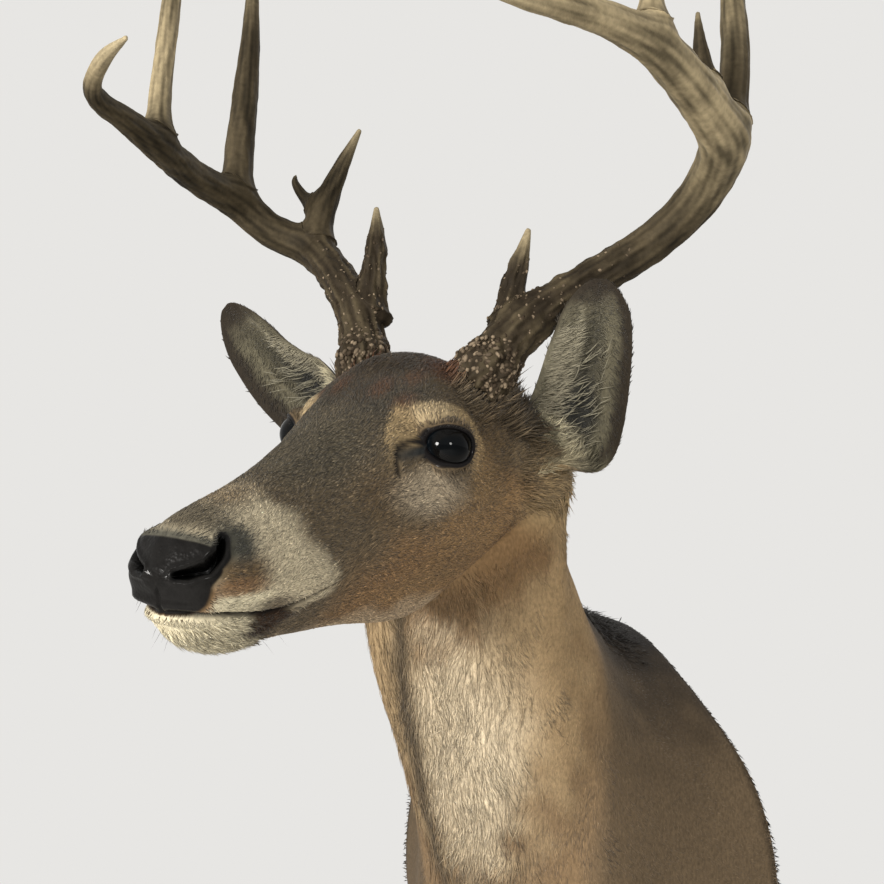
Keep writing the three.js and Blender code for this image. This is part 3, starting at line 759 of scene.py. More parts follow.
def body_tones(t, turn, points, wobble):
    """Colours over the neck and shoulder: t from the wall to the nose, turn round from the top."""
    up_side = from_top(turn)
    where = np.stack([t + 0.006 * wobble, turn + 0.008 * wobble], axis=-1)
    tone = flat(TONES["tan"], points.shape)
    tone = blend(tone, TONES["flank"], 0.9 * (1 - ramp(t + 0.02 * wobble, 0.21, 0.29)))
    top = 1 - ramp(up_side + 0.025 * wobble, 0.10, 0.58)
    tone = blend(tone, TONES["olive"], 0.85 * top * (1 - ramp(t, 0.42, 0.5)))
    breast = (1 - ramp(t + 0.02 * wobble, 0.16, 0.25)) * ramp(up_side, 0.45, 0.9)
    tone = blend(tone, TONES["cheek"], 0.6 * breast)
    tone = laid(tone, where, THROAT_PATCHES)
    side = np.stack([t + 0.006 * wobble, up_side], axis=-1)
    tone = blend(tone, TONES["fawn"], 0.6 * patch(side, [0.32, 0.48], [0.11, 0.22], 0.8))
    # Under the jaw the neck takes the cheek's tawny: partly the hair's own colour carried down, partly
    # painted shade under the jaw.
    under_jaw_shade = ramp(t + 0.008 * wobble, 0.360, 0.392) * ramp(up_side, 0.42, 0.60)
    tone = blend(tone, TONES["cheek"], 0.85 * under_jaw_shade)
    # A dark band down one side of the throat: painted shade of a crease there, not a marking of the hair.
    crease_shade = hump(turn, 0.600, 0.028) * ramp(t, 0.20, 0.25) * (1 - ramp(t, 0.38, 0.43))
    tone = blend(tone, TONES["crease_shade"], 0.97 * crease_shade)
    behind = 1 - ramp(t + 0.006 * wobble + 0.10 * (up_side - 0.5), 0.155, 0.210)
    tone = blend(tone, TONES["shoulder"], behind * (1 - 0.85 * ramp(up_side, 0.55, 0.80)))
    dark = (1 - ramp(up_side + 0.02 * wobble, 0.12, 0.42)) * (1 - ramp(t, 0.14, 0.20))
    return blend(tone, TONES["withers"], 0.97 * dark)


def coat_tones(points, roots, t, turn):
    """The markings at any place, and shade painted in the throat's crease and under the jaw: the head's in
    front, the body's behind, and a soft change between. points are on the outline, which the folds don't
    move, and roots are the same places on the skin."""
    place = on_both_sides(in_head(points))
    wobble = waves(points, 34, seed=2)
    front = ramp(t + 0.012 * wobble, 0.395, 0.475)
    body = body_tones(t, turn, points, wobble)
    tone = body + (head_tones(place, wobble, eye_ring(roots)) - body) * front[..., None]
    tone = blend(tone, TONES["gold"], 0.85 * patch(place, [-103, 86, -24], [24, 26, 30], 0.6))
    return blend(tone, TONES["cream"], 0.75 * patch(place, [-107, 87, 8], [13, 16, 14], 0.7))


grid_t = np.repeat(ring_t[:, None], COLUMNS, axis=1)
grid_turn = np.repeat(turns[None, :], len(ring_t), axis=0)
skin_tint = coat_tones(hair_tips, skin_grid, grid_t, grid_turn)
print("mean skin colour:", skin_tint.mean(axis=(0, 1)).round(3))


# %% [markdown]
# ## Ear colours
# The back of the ear is grey-brown with a dark edge, and the cup is grey with long white hair along the front
# rim and at the root. The blade's own two parameters say where each goes.


# %% Ear colours
# The cup's patches, by share of the way from root to tip and place across, from the front rim at -1.
CUP_PATCHES = [
    [(0.120, 0.107, 0.070), 0.40, [0.55, 0.34], [0.36, 0.20], 0.6],  # a paler fold towards the rear
    [(0.225, 0.204, 0.142), 0.90, [0.66, -0.55], [0.22, 0.10], 0.7],  # pale hair inside the front rim
    [(0.150, 0.136, 0.094), 0.80, [0.46, -0.92], [0.30, 0.16], 0.6],  # the front rim
    [(0.040, 0.036, 0.024), 0.80, [0.70, -0.14], [0.13, 0.24], 0.7],  # a darker hollow near the tip
    [(0.016, 0.016, 0.014), 0.97, [0.40, -0.16], [0.20, 0.44], 0.5],  # the deep of the cup
    [(0.060, 0.054, 0.038), 0.70, [0.46, -0.66], [0.16, 0.08], 0.7],  # painted shade at the edge of that hair
]


def ear_tones(t, s, face, points):
    """Colours over an ear: t root to tip, s across from front rim to rear, face above 0 in the cup."""
    wobble = waves(points, 16, seed=3)
    across = np.stack([t, s + 0.06 * wobble], -1)
    back = blend(flat(TONES["ear"], points.shape), TONES["ear_tip"], ramp(t, 0.35, 1))
    cup = laid(flat(TONES["cup"], points.shape), across, CUP_PATCHES)
    cup = blend(cup, (0.046, 0.038, 0.026), 0.7 * ramp(t, 0.80, 0.97))
    cup = blend(cup, (0.480, 0.430, 0.290), 0.95 * (1 - ramp(t + 0.09 * s + 0.04 * wobble, 0.18, 0.34)))
    tone = blend(back, cup, (face > 0).astype(float))
    rim = ramp(s + 0.03 * wobble, 0.50, 0.76) * ramp(t + 0.03 * wobble, 0.24, 0.40)
    tone = blend(tone, (0.020, 0.015, 0.010), 0.95 * np.maximum(rim, ramp(t + 0.02 * wobble, 0.86, 0.96)))
    front_edge = ramp(-s, 0.90, 0.98) * ramp(t, 0.60, 0.75)
    tone = blend(tone, (0.030, 0.024, 0.016), 0.8 * front_edge)
    corner = ramp(-s + 0.1 * wobble, 0.60, 0.85) * (1 - ramp(t, 0.14, 0.26))
    tone = blend(tone, (0.026, 0.020, 0.014), 0.9 * corner)
    root = (1 - ramp(t + 0.03 * wobble, 0.06, 0.26)) * ramp(s, -0.5, 0.1)
    return blend(tone, TONES["gold"], 0.9 * root * (1 - 0.6 * (face > 0)))


print("ear colours ready")

# %% [markdown]
# ## One skin
# The body, both ears and the lids go into one mesh, so no seam shows anywhere. At the wall the hide turns
# round the form's edge and is tacked inside the recess of the back board, and its two ends close on a point.

# %% Join the skin
# The rings before the outline's first one: their size as a share of its size, and their y in millimetres.
WALL_RINGS = [[0.905, -17.0], [0.905, -1.2], [0.965, -0.7]]


def wall_rings():
    """Rings from inside the board's recess round the form's edge, before the outline's first ring."""
    edge = outline(np.array([0.0]), turns)[0]
    rings = []
    for share, y in WALL_RINGS:
        ring = edge * [share, 0, share]
        ring[:, 1] = y
        rings.append(ring)
    return np.array(rings)


def with_ends(rings):
    """Rings as a list of points or colours, then the mean of the first ring and the mean of the last."""
    return np.concatenate([rings.reshape(-1, 3), [rings[0].mean(axis=0), rings[-1].mean(axis=0)]])


def inside_out(points, quads):
    """True if a closed shape's faces point inwards: its signed volume is then negative."""
    a, b, c, d = (points[quads[:, k]] for k in range(4))
    return (np.einsum("ij,ij->i", a, np.cross(b, c)) + np.einsum("ij,ij->i", a, np.cross(c, d))).sum() < 0


def closed_grid(grid, first=0):
    """A closed shape from rings: its points, its quads, and a fan of triangles from each open end to its
    middle point. All of them face outwards, and their point numbers start at first."""
    rows, columns = grid.shape[:2]
    points, quads = with_ends(grid), grid_faces(rows, columns, first)
    column = np.arange(columns)
    after = (column + 1) % columns
    pole = first + rows * columns
    last = pole - columns
    start = np.stack([first + after, first + column, np.full(columns, pole)], axis=1)
    end = np.stack([last + column, last + after, np.full(columns, pole + 1)], axis=1)
    fans = np.concatenate([start, end])
    if inside_out(points, quads - first):
        quads, fans = quads[:, ::-1], fans[:, ::-1]
    return points, quads, fans


parts = []  # for each sheet of the skin: points, colours, quads and triangles
first = 0
wall_tone = flat(TONES["jaw"], (len(WALL_RINGS), COLUMNS, 3))
closed = [(np.concatenate([wall_rings(), skin_grid]), np.concatenate([wall_tone, skin_tint]))]
for t, s, face, grid in ear_grids.values():
    closed.append((from_head(grid), ear_tones(t[:, None] + 0 * s, s, face, grid)))
for grid, tones in closed:
    points, quads, fans = closed_grid(grid, first)
    parts.append((points, with_ends(tones), quads, fans))
    first += len(points)
lid_start = first
for side, (grid, past) in zip((1, -1), lid_grids):
    tones = head_tones(on_both_sides(in_head(grid)), 0 * past, LID_DOME * past)
    tones = blend(tones, TONES["black"], 1 - ramp(past, 0.045, 0.10))
    quads = grid_faces(LID_RINGS, LID_AROUND, first)
    outward = np.cross(np.roll(grid, -1, axis=1) - grid, np.gradient(grid, axis=0))[6]
    if (outward * (grid[6] - from_head(EYE_CENTRE * [1, side, 1]))).sum() < 0:
        quads = quads[:, ::-1]
    parts.append((grid.reshape(-1, 3), tones.reshape(-1, 3), quads, np.empty((0, 3), dtype=int)))
    first += LID_RINGS * LID_AROUND
skin_points, skin_colours, quads, fans = (np.concatenate(column) for column in zip(*parts))
triangles = np.concatenate([halves(quads), fans])
skin = make_piece("skin", skin_points, triangles, skin_colours)
print("skin triangles:", len(triangles))

# %% [markdown]
# ## Hide and nose materials
# Between the tufts the hide shows the same colours with the grain of short hair. Bump does that: noise
# stretched along the head's length. The nose pad is bare, black, wet-looking and pebbled, so its faces get
# a second material: small round cells in bump and a clear coat over a dark base.


# %% Materials of the hide
def new_material(name, roughness, **sockets):
    """A material with one Principled shader. Each further value is set on the shader's input of that name."""
    material = bpy.data.materials.new(name)
    material.use_nodes = True
    shader = material.node_tree.nodes["Principled BSDF"]
    shader.inputs["Roughness"].default_value = roughness
    for socket, value in sockets.items():
        shader.inputs[socket.replace("_", " ")].default_value = value
    return material, material.node_tree.nodes, material.node_tree.links, shader


def add_node(nodes, kind, **values):
    """A new node. Each further value is set on the input of that name, with underscores for its spaces."""
    node = nodes.new("ShaderNode" + kind)
    for socket, value in values.items():
        node.inputs[socket.replace("_", " ")].default_value = value
    return node


def join(links, *steps):
    """Links in order, each from a node's output, by its name, to a node's input, by its name or number."""
    for source, output, target, socket in steps:
        links.new(source.outputs[output], target.inputs[socket])


def stretched_noise(nodes, links, scale, detail, stretch):
    """Noise in the object's own space. A larger scale or stretch gives finer noise."""
    where = add_node(nodes, "TexCoord")
    mapping = add_node(nodes, "Mapping", Scale=stretch)
    noise = add_node(nodes, "TexNoise", Scale=scale, Detail=detail)
    join(links, (where, "Object", mapping, "Vector"), (mapping, "Vector", noise, "Vector"))
    return noise


def tint_times_noise(nodes, links, shader, size, low, high, stretch=(1, 1, 1), detail=3):
    """Base colour: the stored tint, made darker and lighter by noise of a size in millimetres."""
    tint = add_node(nodes, "VertexColor")
    tint.layer_name = "tint"
    noise = stretched_noise(nodes, links, 1000 / size, detail, stretch)
    spread = add_node(nodes, "MapRange", From_Min=0.3, From_Max=0.7, To_Min=low, To_Max=high)
    mix = add_node(nodes, "VectorMath")
    mix.operation = "SCALE"
    join(
        links,
        (noise, "Fac", spread, "Value"),
        (tint, "Color", mix, 0),
        (spread, "Result", mix, "Scale"),
        (mix, "Vector", shader, "Base Color"),
    )
    return noise


def bump_from(nodes, links, shader, height, output, depth):
    """Bump of a depth in millimetres from a node's output."""
    bump = add_node(nodes, "Bump", Distance=depth * MM)
    join(links, (height, output, bump, "Height"), (bump, "Normal", shader, "Normal"))


hide, nodes, links, shader = new_material("short_hair_hide", 0.80, Specular_IOR_Level=0.15)
grain = tint_times_noise(nodes, links, shader, 1.6, 0.72, 1.16, stretch=(1, 0.3, 0.45))
bump_from(nodes, links, shader, grain, "Fac", 0.5)

leather, nodes, links, shader = new_material(
    "nose_leather", 0.34, Specular_IOR_Level=0.04, Coat_Weight=0.09, Coat_Roughness=0.07
)
tint_times_noise(nodes, links, shader, 5, 0.8, 1.2)
PEBBLE = 1.5  # millimetres across
where, pebbles = add_node(nodes, "TexCoord"), add_node(nodes, "TexVoronoi", Scale=1000 / PEBBLE)
pebbles.feature = "SMOOTH_F1"
join(links, (where, "Object", pebbles, "Vector"))
bump_from(nodes, links, shader, pebbles, "Distance", -0.22)

skin.data.materials.append(hide)
skin.data.materials.append(leather)
LID_EDGE_RINGS = 5  # the first rings of each lid are bare and wet
bare_points = np.zeros(len(skin_points))
body_start = len(WALL_RINGS) * COLUMNS
bare_points[body_start:body_start + head[..., 0].size] = nose_mask(head).ravel()
bare = bare_points[triangles].mean(axis=1) > 0.5
lowest = triangles.min(axis=1)  # of each triangle's three point numbers
in_lid = (lowest - lid_start) % (LID_RINGS * LID_AROUND)
bare |= (lowest >= lid_start) & (in_lid < LID_EDGE_RINGS * LID_AROUND)
skin.data.polygons.foreach_set("material_index", bare.astype(np.int32))
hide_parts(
    "trunk", "neck_lower", "neck_upper", "head", "muzzle", "lower_jaw", "nose_pad",
    "ear_left", "ear_right",
)
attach(skin, "root")
print("bare nose and lid triangles:", int(bare.sum()))

# %% [markdown]
# ## Glass eyes
# A taxidermist's deer eye is a dark glass cap with a wide level pupil, slightly more curved in front. A plain
# ball would miss that, so the radius grows by 0.9 exp(-(angle / 0.6)^2) about the axis. The colour goes from
# a blue-black pupil through a dark brown iris to a bluish edge.

# %% Eyes
EYE_ROWS, EYE_AROUND = 40, 72
CORNEA = 0.9  # how much further out the eye's front is
PUPIL = [0.62, 0.36]  # half its length and half its height, as sines of the angle off the axis


def eye_cap(side):
    """A ball round the eye's centre by angle off its axis and way round, with the cornea's extra bulge."""
    angle = np.linspace(0, np.pi, EYE_ROWS + 2)[1:-1][:, None]
    around = np.linspace(0, 2 * np.pi, EYE_AROUND, endpoint=False)[None, :]
    way = eye_ways(angle, around, side)
    reach = EYE_RADIUS - 0.5 + CORNEA * hump(angle, 0, 0.6)
    off = np.sin(angle)
    pupil = np.sqrt((off * np.cos(around) / PUPIL[0]) ** 2 + (off * np.sin(around) / PUPIL[1]) ** 2)
    tone = flat((0.001, 0.0015, 0.002), way.shape)
    tone = blend(tone, (0.003, 0.0028, 0.0026), ramp(pupil, 0.9, 1.1))
    tone = blend(tone, (0.002, 0.003, 0.004), ramp(off + 0 * around, 0.70, 0.85))
    return from_head((EYE_CENTRE + way * reach[..., None]) * [1, side, 1]), tone


glass, nodes, links, shader = new_material("eye_glass", 0.035, Specular_IOR_Level=0.10)
tint_times_noise(nodes, links, shader, 3, 0.85, 1.15)
for name, side in (("left", 1), ("right", -1)):
    grid, tone = eye_cap(side)
    points, quads, fans = closed_grid(grid)
    faces = np.concatenate([halves(quads), fans])
    eye = make_piece(f"glass_eye_{name}", points, faces, with_ends(tone))
    eye.data.materials.append(glass)
    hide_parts(f"eye_{name}")
    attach(eye, "root")
print("eye triangles each:", len(faces))

# %% [markdown]
# ## Antlers
# An antler is one bone: a burr at the skull, a beam sweeping out and forward, and tines that flow out of it.
# The beam and tines start as round tubes along smooth lines. A voxel remesh then melts them into one
# surface, without the creases that a boolean union would leave. After it, grooves that run lengthwise and
# knobs near the base are pressed in along the normals, by the angle round the nearest line and the way along.

# %% Antler lines
# Points of each centre line in the head's frame: forward, left, up and radius.
BEAM_LEFT = [
    [-50, 46, 42, 18], [-60, 55, 62, 18], [-72, 66, 83, 17], [-92, 84, 106, 15.5], [-115, 113, 132, 14.5],
    [-130, 144, 157, 14.5], [-125, 171, 180, 15], [-108, 189, 200, 15.5], [-80, 198, 212, 16],
    [-45, 191, 222, 14], [-8, 183, 229, 12.5], [28, 174, 233, 11], [65, 161, 231, 8.5], [98, 146, 227, 7.5],
    [122, 128, 226, 6], [140, 98, 233, 2],
]
BEAM_RIGHT = [
    [-50, -44, 42, 17], [-60, -50, 68, 17], [-75, -69, 100, 15.5], [-95, -102, 131, 14.5],
    [-118, -142, 156, 15], [-105, -177, 172, 14.5], [-80, -195, 191, 14.5], [-30, -195, 198, 12.5],
    [28, -179, 204, 11], [65, -173, 210, 8.5], [92, -168, 213, 7], [108, -157, 217, 5.5],
    [122, -132, 225, 4.5], [138, -98, 226, 1.5],
]
ANTLERS = {
    "left": {
        "beam": BEAM_LEFT,
        "brow_tine": [[-76, 58, 86, 11], [-80, 57, 109, 8.5], [-84, 61, 134, 7], [-88, 65, 161, 2]],
        "tine_2": [[-80, 197, 208, 13], [-88, 200, 245, 10], [-95, 198, 280, 9], [-105, 191, 325, 7],
                   [-116, 182, 392, 2]],
        "sticker": [[-45, 190, 224, 8], [-45, 188, 245, 6.5], [-46, 185, 262, 4], [-48, 182, 281, 1.5]],
        "tine_3": [[28, 174, 233, 8.5], [26, 172, 258, 6.5], [20, 171, 295, 5.5], [12, 168, 345, 1.8]],
    },
    "right": {
        "beam": BEAM_RIGHT,
        "brow_tine": [[-74, -54, 90, 13], [-80, -57, 130, 9.5], [-84, -59, 156, 7], [-88, -63, 182, 2]],
        "tine_2": [[-118, -138, 156, 13], [-122, -137, 187, 11], [-128, -125, 226, 7], [-132, -110, 260, 2]],
        "tine_3": [[-80, -195, 191, 13], [-86, -199, 236, 12], [-95, -203, 289, 10.5], [-103, -208, 344, 7.5],
                   [-116, -220, 430, 2]],
        "tine_4": [[28, -179, 204, 10], [25, -182, 238, 8], [20, -184, 276, 7.3], [14, -186, 315, 6.5],
                   [6, -188, 370, 2]],
        "sticker": [[-122, -137, 190, 8], [-124, -157, 203, 5.2], [-126, -169, 216, 3.5],
                    [-128, -171, 224, 1.5]],
    },
}
BURR_SHARE, BURR_SWELL, BURR_SPREAD = 0.048, 0.24, 0.03  # where on the beam, how much wider, over what share
FILLET = 15.0  # how wide the web at each fork is
# Where each line turns golden: the shares along it where that starts and ends, and how golden it gets.
GOLDEN = {
    "left": {"beam": (0.36, 0.60, 0.80), "brow_tine": (0.5, 1.0, 0.45), "tine_2": (0.25, 0.8, 0.55),
             "sticker": (0.8, 1.0, 0.2), "tine_3": (0.0, 0.4, 0.85)},
    "right": {"beam": (0.80, 0.95, 0.80), "brow_tine": (0.6, 1.0, 0.45), "tine_2": (0.6, 1.0, 0.25),
              "tine_3": (0.7, 1.0, 0.30), "tine_4": (0.0, 0.25, 0.75), "sticker": (0.8, 1.0, 0.1)},
}
BONE = {  # colours, from the stained hollows to the rubbed tips, then a pearl's foot and its top
    "bark": (0.018, 0.014, 0.008),
    "brown": (0.080, 0.062, 0.036),
    "stain": (0.020, 0.014, 0.009),
    "golden": (0.400, 0.325, 0.195),
    "ivory": (0.420, 0.350, 0.220),
    "pearl": (0.034, 0.024, 0.015),
    "crest": (0.260, 0.200, 0.135),
}
TUBE_SIDES = 20
VOXEL = 1.15  # size of the remesh's cells in millimetres


def tube_frames(line, steps, swell):
    """Centre, radius and cross directions at equal steps of a line. Each pair is the last, carried along."""
    t = np.linspace(0, 1, steps)
    row = smooth_rows(line, t)
    ahead = smooth_rows(line, np.minimum(t + 0.01, 1)) - smooth_rows(line, np.maximum(t - 0.01, 0))
    along = unit(ahead[:, :3])
    first = unit(np.cross(along[0], [0.3, 1, 0.2]))
    across = []
    for way in along:
        first = unit(first - way * (first @ way))
        across.append(first)
    across = np.array(across)
    radius = row[:, 3] * (1 + swell * hump(t, BURR_SHARE, BURR_SPREAD))
    length = np.concatenate([[0], np.cumsum(np.linalg.norm(np.diff(row[:, :3], axis=0), axis=1))])
    return {"t": t, "centre": row[:, :3], "radius": radius, "along": along, "across": across,
            "over": np.cross(along, across), "length": length}


def round_tube(frames):
    """Rings round a line: centre + radius (across cos + over sin)."""
    turn = np.linspace(0, 2 * np.pi, TUBE_SIDES, endpoint=False)[None, :, None]
    ring = frames["across"][:, None] * np.cos(turn) + frames["over"][:, None] * np.sin(turn)
    return frames["centre"][:, None] + ring * frames["radius"][:, None, None]


def melted(name, grids):
    """All the closed tubes as one surface, by a voxel remesh. Gives points in millimetres and triangles."""
    points, faces, first = [], [], 0
    for grid in grids:
        own, quads, fans = closed_grid(grid, first)
        faces += [halves(quads), fans]
        points.append(own)
        first += len(own)
    rough = make_piece(name + "_rough", np.concatenate(points), np.concatenate(faces))
    remesh = rough.modifiers.new("melt", "REMESH")
    remesh.mode, remesh.voxel_size = "VOXEL", VOXEL * MM
    relax = rough.modifiers.new("relax", "SMOOTH")
    relax.iterations, relax.factor = 6, 0.5
    mesh = rough.evaluated_get(bpy.context.evaluated_depsgraph_get()).to_mesh()
    mesh.calc_loop_triangles()
    found = np.empty(len(mesh.vertices) * 3, dtype=np.float32)
    mesh.vertices.foreach_get("co", found)
    normals = np.empty(len(mesh.vertices) * 3, dtype=np.float32)
    mesh.vertices.foreach_get("normal", normals)
    three = np.empty(len(mesh.loop_triangles) * 3, dtype=np.int32)
    mesh.loop_triangles.foreach_get("vertices", three)
    bpy.data.objects.remove(rough)
    return found.reshape(-1, 3) / MM, normals.reshape(-1, 3), three.reshape(-1, 3)


def tube_gaps(points, centres, radii):
    """How far each point is outside each of a tube's steps."""
    return np.linalg.norm(points[:, None] - centres[None], axis=2) - radii[None]


def nearest_line(points, lines):
    """For each point the line it lies on: how far along in millimetres and as a share, the angle round it,
    which line, its radius, and how near a fork the point is: 1 - (gap to the second nearest tube - gap to the
    nearest) / FILLET, not under 0. A line's steps inside an earlier line's tube don't count."""
    gaps, hits = [], []
    for number, line in enumerate(lines):
        clear = np.full(len(line["t"]), True)
        for other in lines[:number]:
            clear &= tube_gaps(line["centre"], other["centre"], other["radius"]).min(axis=1) > -1.5
        use = np.flatnonzero(clear)
        centres, radii = line["centre"][use], line["radius"][use]
        tables = [tube_gaps(chunk, centres, radii) for chunk in np.array_split(points, 24)]
        gaps.append(np.concatenate([table.min(axis=1) for table in tables]))
        hits.append(use[np.concatenate([table.argmin(axis=1) for table in tables])])
    gaps, hits = np.array(gaps), np.array(hits)
    which = gaps.argmin(axis=0)
    each = np.arange(len(points))
    starts = np.cumsum([0] + [len(line["t"]) for line in lines])[:-1]
    hit = starts[which] + hits[which, each]
    at = {key: np.concatenate([line[key] for line in lines])[hit] for key in lines[0]}
    away = points - at["centre"]
    angle = np.arctan2((away * at["over"]).sum(axis=1), (away * at["across"]).sum(axis=1))
    two = np.sort(gaps, axis=0)
    fork = np.clip(1 - (two[1] - two[0]) / FILLET, 0, 1)
    length = at["length"] + (away * at["along"]).sum(axis=1)
    return length, at["t"], angle, which, at["radius"], fork


print("antler lines:", {side: len(lines) for side, lines in ANTLERS.items()})

# %% [markdown]
# ## Antler surface and colour
# Bark stains an antler brown where it is rough, and rubbing polishes the tips and the ridges to ivory. So one
# number, how rough a place is, drives the depth of the grooves, the darkness of the colour and where the
# pearls sit. The pearls themselves are small flat-topped beads, joined into one piece for each antler.

# %% Build the antlers
bone, nodes, links, shader = new_material("antler_bone", 0.66, Specular_IOR_Level=0.08)
grain = tint_times_noise(nodes, links, shader, 4, 0.78, 1.18, detail=6)
bump_from(nodes, links, shader, grain, "Fac", 0.35)
BEAD_AROUND, BEAD_RINGS = 8, 3
BEAD_TOP, BEAD_FOOT = 0.82, 0.6  # how far a pearl's top is above its seat and its foot below, as shares
PEARLS = 720  # on each antler


def beads(points, normals, sizes, seed):
    """Low domes on a surface: rings whose radius is an angle's sine and whose height 0.75 of its cosine."""
    rng = np.random.default_rng(seed)
    side = unit(np.cross(normals, unit(rng.normal(size=normals.shape))))
    other = np.cross(normals, side)
    angle = np.linspace(1.9, 0.45, BEAD_RINGS)
    turn = np.linspace(0, 2 * np.pi, BEAD_AROUND, endpoint=False)[None, None, :]
    long = rng.uniform(1.0, 1.9, len(points))[:, None, None]
    out_of_axis, height = np.sin(angle)[None, :, None], np.cos(angle)[None, :, None] * 0.75
    x = (out_of_axis * np.cos(turn) * long)[..., None]
    y = (out_of_axis * np.sin(turn) + 0 * long)[..., None]
    z = (height + 0 * turn + 0 * long)[..., None]
    ways = [way[:, None, None] for way in (side, other, normals)]
    rings = points[:, None, None] + sizes[:, None, None, None] * (x * ways[0] + y * ways[1] + z * ways[2])
    top = points + normals * sizes[:, None] * BEAD_TOP
    low = points - normals * sizes[:, None] * BEAD_FOOT
    all_points = np.concatenate([rings.reshape(len(points), -1, 3), top[:, None], low[:, None]], axis=1)
    count = BEAD_RINGS * BEAD_AROUND
    column = np.arange(BEAD_AROUND)
    after = (column + 1) % BEAD_AROUND
    last = count - BEAD_AROUND
    one = np.concatenate([
        halves(grid_faces(BEAD_RINGS, BEAD_AROUND)),
        np.stack([last + column, last + after, np.full(BEAD_AROUND, count)], axis=1),
        np.stack([after, column, np.full(BEAD_AROUND, count + 1)], axis=1),
    ])
    faces = (one[None] + (np.arange(len(points)) * (count + 2))[:, None, None]).reshape(-1, 3)
    return all_points, faces


BEAM_STEPS, TINE_STEPS = 90, 40
BEAM_GROOVES, TINE_GROOVES = 8, 6  # round each of them
for number, (side, lines) in enumerate(ANTLERS.items()):
    frames = [tube_frames(lines["beam"], BEAM_STEPS, BURR_SWELL)]
    frames += [tube_frames(line, TINE_STEPS, 0) for name, line in lines.items() if name != "beam"]
    points, normals, three = melted(side, [from_head(round_tube(tube)) for tube in frames])
    place = in_head(points)
    length, share, angle, which, radius, fork = nearest_line(place, frames)
    points = points + normals * (0.33 * FILLET * fork**2)[:, None]
    beam, brow = which == 0, which == 1
    rough = np.where(beam, 1 - ramp(share, 0.16, 0.40), 0) + np.where(brow, 1 - ramp(share, 0.60, 0.95), 0)
    tip = np.where(beam, ramp(share, 0.86, 1.0), ramp(share, 0.75, 1.0))
    count = np.where(beam, BEAM_GROOVES, TINE_GROOVES)
    wander = 1.3 * waves(place, 90, seed=11 + number)
    grooves = np.sin(count * angle + wander * 2 + length * 0.012)
    grooves = grooves + 0.6 * np.sin((count * 2 + 1) * angle - 2 * wander)
    deep = (0.32 + 0.30 * rough) * (1 - 0.8 * tip) * ramp(radius, 3, 9)
    unrolled = np.stack([length * 0.28, radius * np.cos(angle), radius * np.sin(angle)], axis=-1)
    unrolled = unrolled + 40.0 * which[:, None]  # each line has its own lumps
    lumps = waves(place, 11, seed=21 + number) * 0.5 + 1.1 * (1 - fork) * waves(unrolled, 6, seed=23 + number)
    change = deep * grooves * 0.8 + (0.18 + 0.60 * rough) * lumps * (1 - tip) * ramp(radius, 3, 9)
    burr = hump(share, BURR_SHARE, 0.035) * beam
    change += burr * 0.8 * np.sin(9 * angle + 3 * waves(place, 26, seed=31))
    points = points + normals * change[:, None]
    sun = np.clip(0.5 + 0.35 * grooves / 1.6 + 0.25 * waves(place, 40, seed=41 + number), 0, 1)
    tone = blend(flat(BONE["bark"], points.shape), BONE["brown"], np.clip(sun * 0.85, 0, 1))
    tone = blend(tone, BONE["stain"], 0.55 * rough * (1 - ramp(sun, 0.4, 0.9)))
    starts, ends, most = np.array([GOLDEN[side][name] for name in lines]).T
    golden = most[which] * ramp(share, starts[which], ends[which])
    tone = blend(tone, BONE["golden"], golden * np.clip(0.25 + 0.9 * sun, 0, 1))
    tone = blend(tone, BONE["ivory"], 0.6 * tip * np.clip(golden + 0.25, 0, 1))
    antler = make_piece(f"antler_{side}", points, three, tone)
    antler.data.materials.append(bone)
    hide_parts(*[n for n in frame["nodes"] if n.startswith(f"antler_{side}_")])
    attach(antler, "root")
    rng = np.random.default_rng(51 + number)
    clear_of_skin = np.where(beam, share > 0.022, True)
    weight = (rough**3 * (0.25 + ramp(grooves, 0.2, 1.2)) + 1.6 * burr) * clear_of_skin
    chosen = rng.choice(len(points), PEARLS, replace=False, p=weight / weight.sum())
    size = rng.uniform(0.5, 1.35, len(chosen)) * (1 + 0.45 * burr[chosen]) * ramp(radius[chosen], 1, 6)
    seats = points[chosen] - normals[chosen] * 0.25
    dome, dome_faces = beads(seats, normals[chosen], size, 61 + number)
    crest = np.concatenate([np.repeat([0.25, 0.6, 1.0], BEAD_AROUND), [1.0, 0.1]])[None, :]
    pearl = rng.uniform(0.0, 1.0, (len(chosen), 1)) ** 1.8 * crest
    bead_tone = blend(flat(BONE["pearl"], dome.shape), BONE["crest"], pearl)
    pearls = make_piece(f"antler_pearls_{side}", dome.reshape(-1, 3), dome_faces, bead_tone.reshape(-1, 3))
    pearls.data.materials.append(bone)
    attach(pearls, "root")
    print(side, "antler triangles:", len(three), "pearls:", len(chosen))

# %% [markdown]
# ## The coat as tufts
# Winter hair lies flat and overlaps like thatch, each lock a few hairs that taper to one tip. Particle hair
# would look right here but isn't a mesh that other programs can read. So a lock is a thin solid blade. Where
# the hair is long, it has a three-cornered foot and middle and one point, ten triangles. Short hair gets a
# spindle: one foot point, a three-cornered middle and a tip, six triangles. A region's locks are one table.

